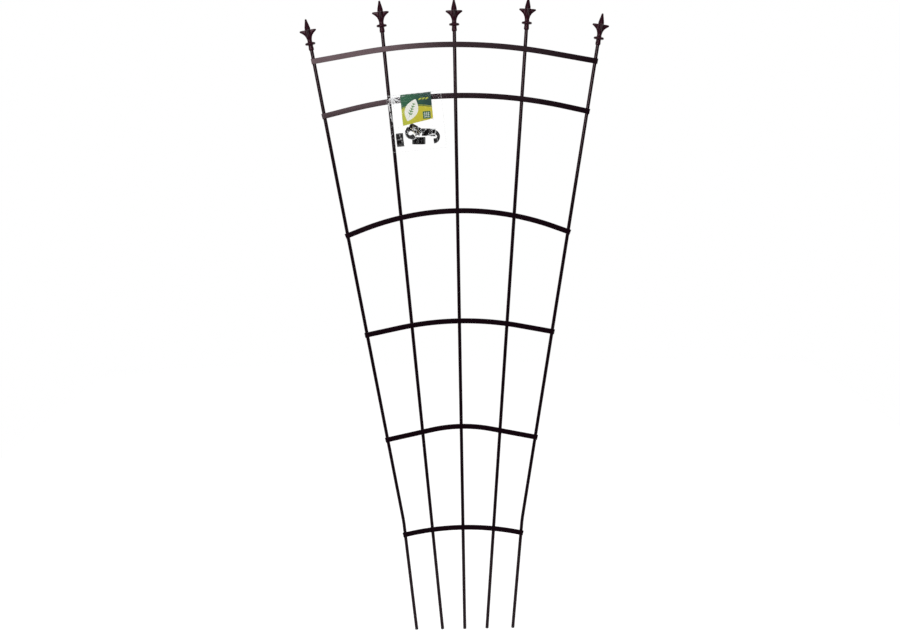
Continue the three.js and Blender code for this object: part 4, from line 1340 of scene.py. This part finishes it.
def makeSleeve():
    middleX = tieSpot.x + tie["fromTube"] + tie["length"] / 2
    height, slope = railAt(2, middleX)
    halfHigh = rails["height"] / 2 + tie["gap"]
    halfDeep = rails["thickness"] / 2 + tie["gap"]
    sleeve = started(bpy.ops.mesh.primitive_cylinder_add, vertices=tie["aroundSteps"], radius=mm,
                     depth=tie["length"], end_fill_type='NOTHING')
    wavesUp, wavesDeep, wavesAlong, allWaves = tie["waves"]
    power = tie["squareness"]
    edit()
    for step in range(1, tie["alongSteps"]):
        cutAlong((0, 0, tie["length"] * (step / tie["alongSteps"] - 0.5)), (0, 0, 1))
    objectMode()
    for vert in sleeve.data.vertices:
        angle, along = atan2(vert.co.y, vert.co.x), vert.co.z
        across = abs(cos(angle)) ** power + abs(sin(angle)) ** power
        unit = Vector((cos(angle), sin(angle))) / across ** (1 / power)
        where = Vector((unit.x * wavesUp, unit.y * wavesDeep, along / mm * wavesAlong)) * allWaves
        out = ridged(where.x + where.z * 0.8, where.y - where.z, 1.0, 3.3)
        out += 0.6 * ridged(where.x * 2.1, where.y + where.z * 2.4, 1.0, 8.1)
        lift = tie["crumple"] * min(1.2, out) + tie["lift"]
        end = Vector((unit.x * 2, unit.y * 2, copysign(3, along)))
        uneven = tie["unevenEnds"] * noise.noise(end) * abs(2 * along / tie["length"]) ** 6
        vert.co = (along + uneven, unit.y * (halfDeep + lift * 0.8), unit.x * (halfHigh + lift))
    sleeve.matrix_world = Matrix.Translation((middleX, railMiddle, height)) @ Matrix.Rotation(slope, 4, 'Y')
    settled(sleeve)
    edit()
    closeUp()
    return applied(sleeve, 'SOLIDIFY', "film", thickness=tie["wall"], offset=1)


def makeStrand(degrees, seed):
    strand = started(bpy.ops.mesh.primitive_torus_add, major_segments=96, minor_segments=14,
                     major_radius=tie["drawnRadius"], minor_radius=mm)
    turn = radians(degrees)
    outwardDirection = Vector((cos(turn), 0, sin(turn)))
    sideways = Vector((-sin(turn), 0, cos(turn)))
    meanWidth, change = tie["pinch"]
    crinkle, wavesAcross, wavesAlong = tie["crinkle"]
    for vert in strand.data.vertices:
        around = atan2(vert.co.y, vert.co.x)
        across = (hypot(vert.co.x, vert.co.y) - tie["drawnRadius"]) / mm
        up = vert.co.z / mm
        cosine, sine = cos(around), sin(around)
        pinch = meanWidth + change * noise.noise(Vector((cosine * 2, sine * 2, seed)))
        twist = tie["twists"] * around + seed + 2 * noise.noise(Vector((cosine, sine, seed)))
        wide = up * tie["strandWidth"] * pinch
        thin = across * tie["strandThickness"]
        thin += crinkle * sin(up * wavesAcross + around * wavesAlong) * abs(up)
        radial = thin * cos(twist) - wide * sin(twist) * 0.45
        side = thin * sin(twist) + wide * cos(twist)
        centre = outwardDirection * (tie["strandReach"] * cosine)
        centre.y += tie["strandMiddle"] + tie["strandDepth"] * sine
        outwards = outwardDirection * cosine + Vector((0, sine, 0))
        vert.co = tieSpot + centre + outwards * (radial + tie["standOff"]) + sideways * side
    return strand


print("trellis: tie film")
wrap = joined(makeSleeve(), *(makeStrand(degrees, seed) for degrees, seed in tie["strands"]))
# its creases get the film's painted glints
markFolds(wrap, tie["foldDegrees"], lambda co: 0.0)
delivered(wrap, "tieWrap", "tie_band", frameBody, "clear_film", filmMaterial("tieFilm"), sharpDegrees=60)


# Floor, lights and camera
stage = {
    "floorHalf": 1.7,
    "floorBack": 2.6,
    "floorFront": -0.45,
    "floorColour": (0.80, 0.80, 0.80, 1),
    "floorLift": 0.80,
    "roomLevel": 0.14,
}


def lightPathShare(tree):  # the camera's rays, and 1 for camera, glossy and transmission rays
    path = newNode(tree, "LightPath").outputs
    seen = calculate(tree, 'MAXIMUM', path["Is Camera Ray"], path["Is Glossy Ray"])
    return path["Is Camera Ray"], calculate(tree, 'MAXIMUM', seen, path["Is Transmission Ray"])


def makeFloor():
    size = (2 * stage["floorHalf"], stage["floorBack"] - stage["floorFront"], 1)
    floor = started(bpy.ops.mesh.primitive_plane_add, size, size=1,
                    location=(0, (stage["floorBack"] + stage["floorFront"]) / 2, 0))
    floor.name = "paperFloor"
    material, tree, shader = newMaterial("paperFloor", stage["floorColour"])
    _, seen = lightPathShare(tree)
    fill(tree, shader, {
        "Base Color": stage["floorColour"],
        "Roughness": 0.9,
        "Specular IOR Level": 0.0,
        "Emission Color": white,
        "Emission Strength": calculate(tree, 'MULTIPLY', seen, stage["floorLift"]),
    })
    floor.data.materials.append(material)


def makeWorld():  # white behind the trellis and wherever the camera looks, a dim room in front
    world = bpy.data.worlds.new("studio")
    bpy.context.scene.world = world
    world.use_nodes = True
    tree = world.node_tree
    direction = partsOf(tree, newNode(tree, "TexCoord").outputs["Generated"])
    cameraRay, seen = lightPathShare(tree)
    mirrored = calculate(tree, 'MULTIPLY', seen, spread(tree, direction[1], -0.05, 0.35))
    share = calculate(tree, 'MAXIMUM', mirrored, cameraRay)
    level = calculate(tree, 'MULTIPLY_ADD', share, 1.0 - stage["roomLevel"], stage["roomLevel"])
    back = tree.nodes["Background"]
    fill(tree, back, {"Color": white, "Strength": level})
    fill(tree, tree.nodes["World Output"], {"Surface": back.outputs[0]})


lampAim = Vector((0, 0, 1.35))
lamps = {  # degrees to the right of the camera and above the horizon, distance, size, radiance
    "keySoftbox": (-17, 6.1, 3.2, (1.62, 0.92), 13.5),
    "softPanel": (5, 7, 3.3, (0.6, 0.8), 2.0),
    "topPanel": (-10, 62, 2.6, (1.8, 1.4), 1.6),
    "rightFill": (62, 34, 3.0, (1.2, 1.2), 1.1),
    "leftFill": (-80, 30, 3.0, (1.0, 1.2), 0.9),
    "backFill": (160, 35, 3.4, (1.6, 1.2), 1.0),
}


def added(name, data, matrix):  # a lamp or camera in the scene
    thing = bpy.data.objects.new(name, data)
    bpy.context.scene.collection.objects.link(thing)
    thing.matrix_world = matrix
    return thing


def makeLamps():
    for name, (asideDegrees, riseDegrees, distance, size, radiance) in lamps.items():
        light = bpy.data.lights.new(name, 'AREA')
        light.shape = 'RECTANGLE'
        light.size, light.size_y = size
        light.energy = radiance * pi * light.size * light.size_y
        azimuth, rise = radians(asideDegrees), radians(riseDegrees)
        level = cos(rise)
        away = Vector((level * sin(azimuth), -level * cos(azimuth), sin(rise)))
        turned = away.to_track_quat('Z', 'Y').to_matrix().to_4x4()
        added(name, light, Matrix.Translation(lampAim + away * distance) @ turned)


shot = {  # where the photograph was taken from, and how the camera was held
    "place": (-17 * mm, -2390 * mm, 1306 * mm),
    "panDegrees": -0.11,
    "tiltDegrees": 12.06,
    "rollDegrees": 1.11,
    "lens": 42.09,
    "sensor": 36.0,
}


def makeCamera():
    pan, tilt, roll = (radians(shot[key]) for key in ("panDegrees", "tiltDegrees", "rollDegrees"))
    forward = Vector((sin(pan) * cos(tilt), cos(pan) * cos(tilt), -sin(tilt)))
    level = Vector((cos(pan), -sin(pan), 0))
    right = cos(roll) * level + sin(roll) * forward.cross(level)
    down = forward.cross(right)
    data = bpy.data.cameras.new("camera")
    data.lens = shot["lens"]
    data.sensor_width = shot["sensor"]
    turned = Matrix((right, -down, -forward)).transposed().to_4x4()
    bpy.context.scene.camera = added("camera", data, Matrix.Translation(shot["place"]) @ turned)


print("trellis: floor, lights and camera")
makeFloor()
makeWorld()
makeLamps()
makeCamera()
bpy.context.scene.view_settings.view_transform = 'Standard'
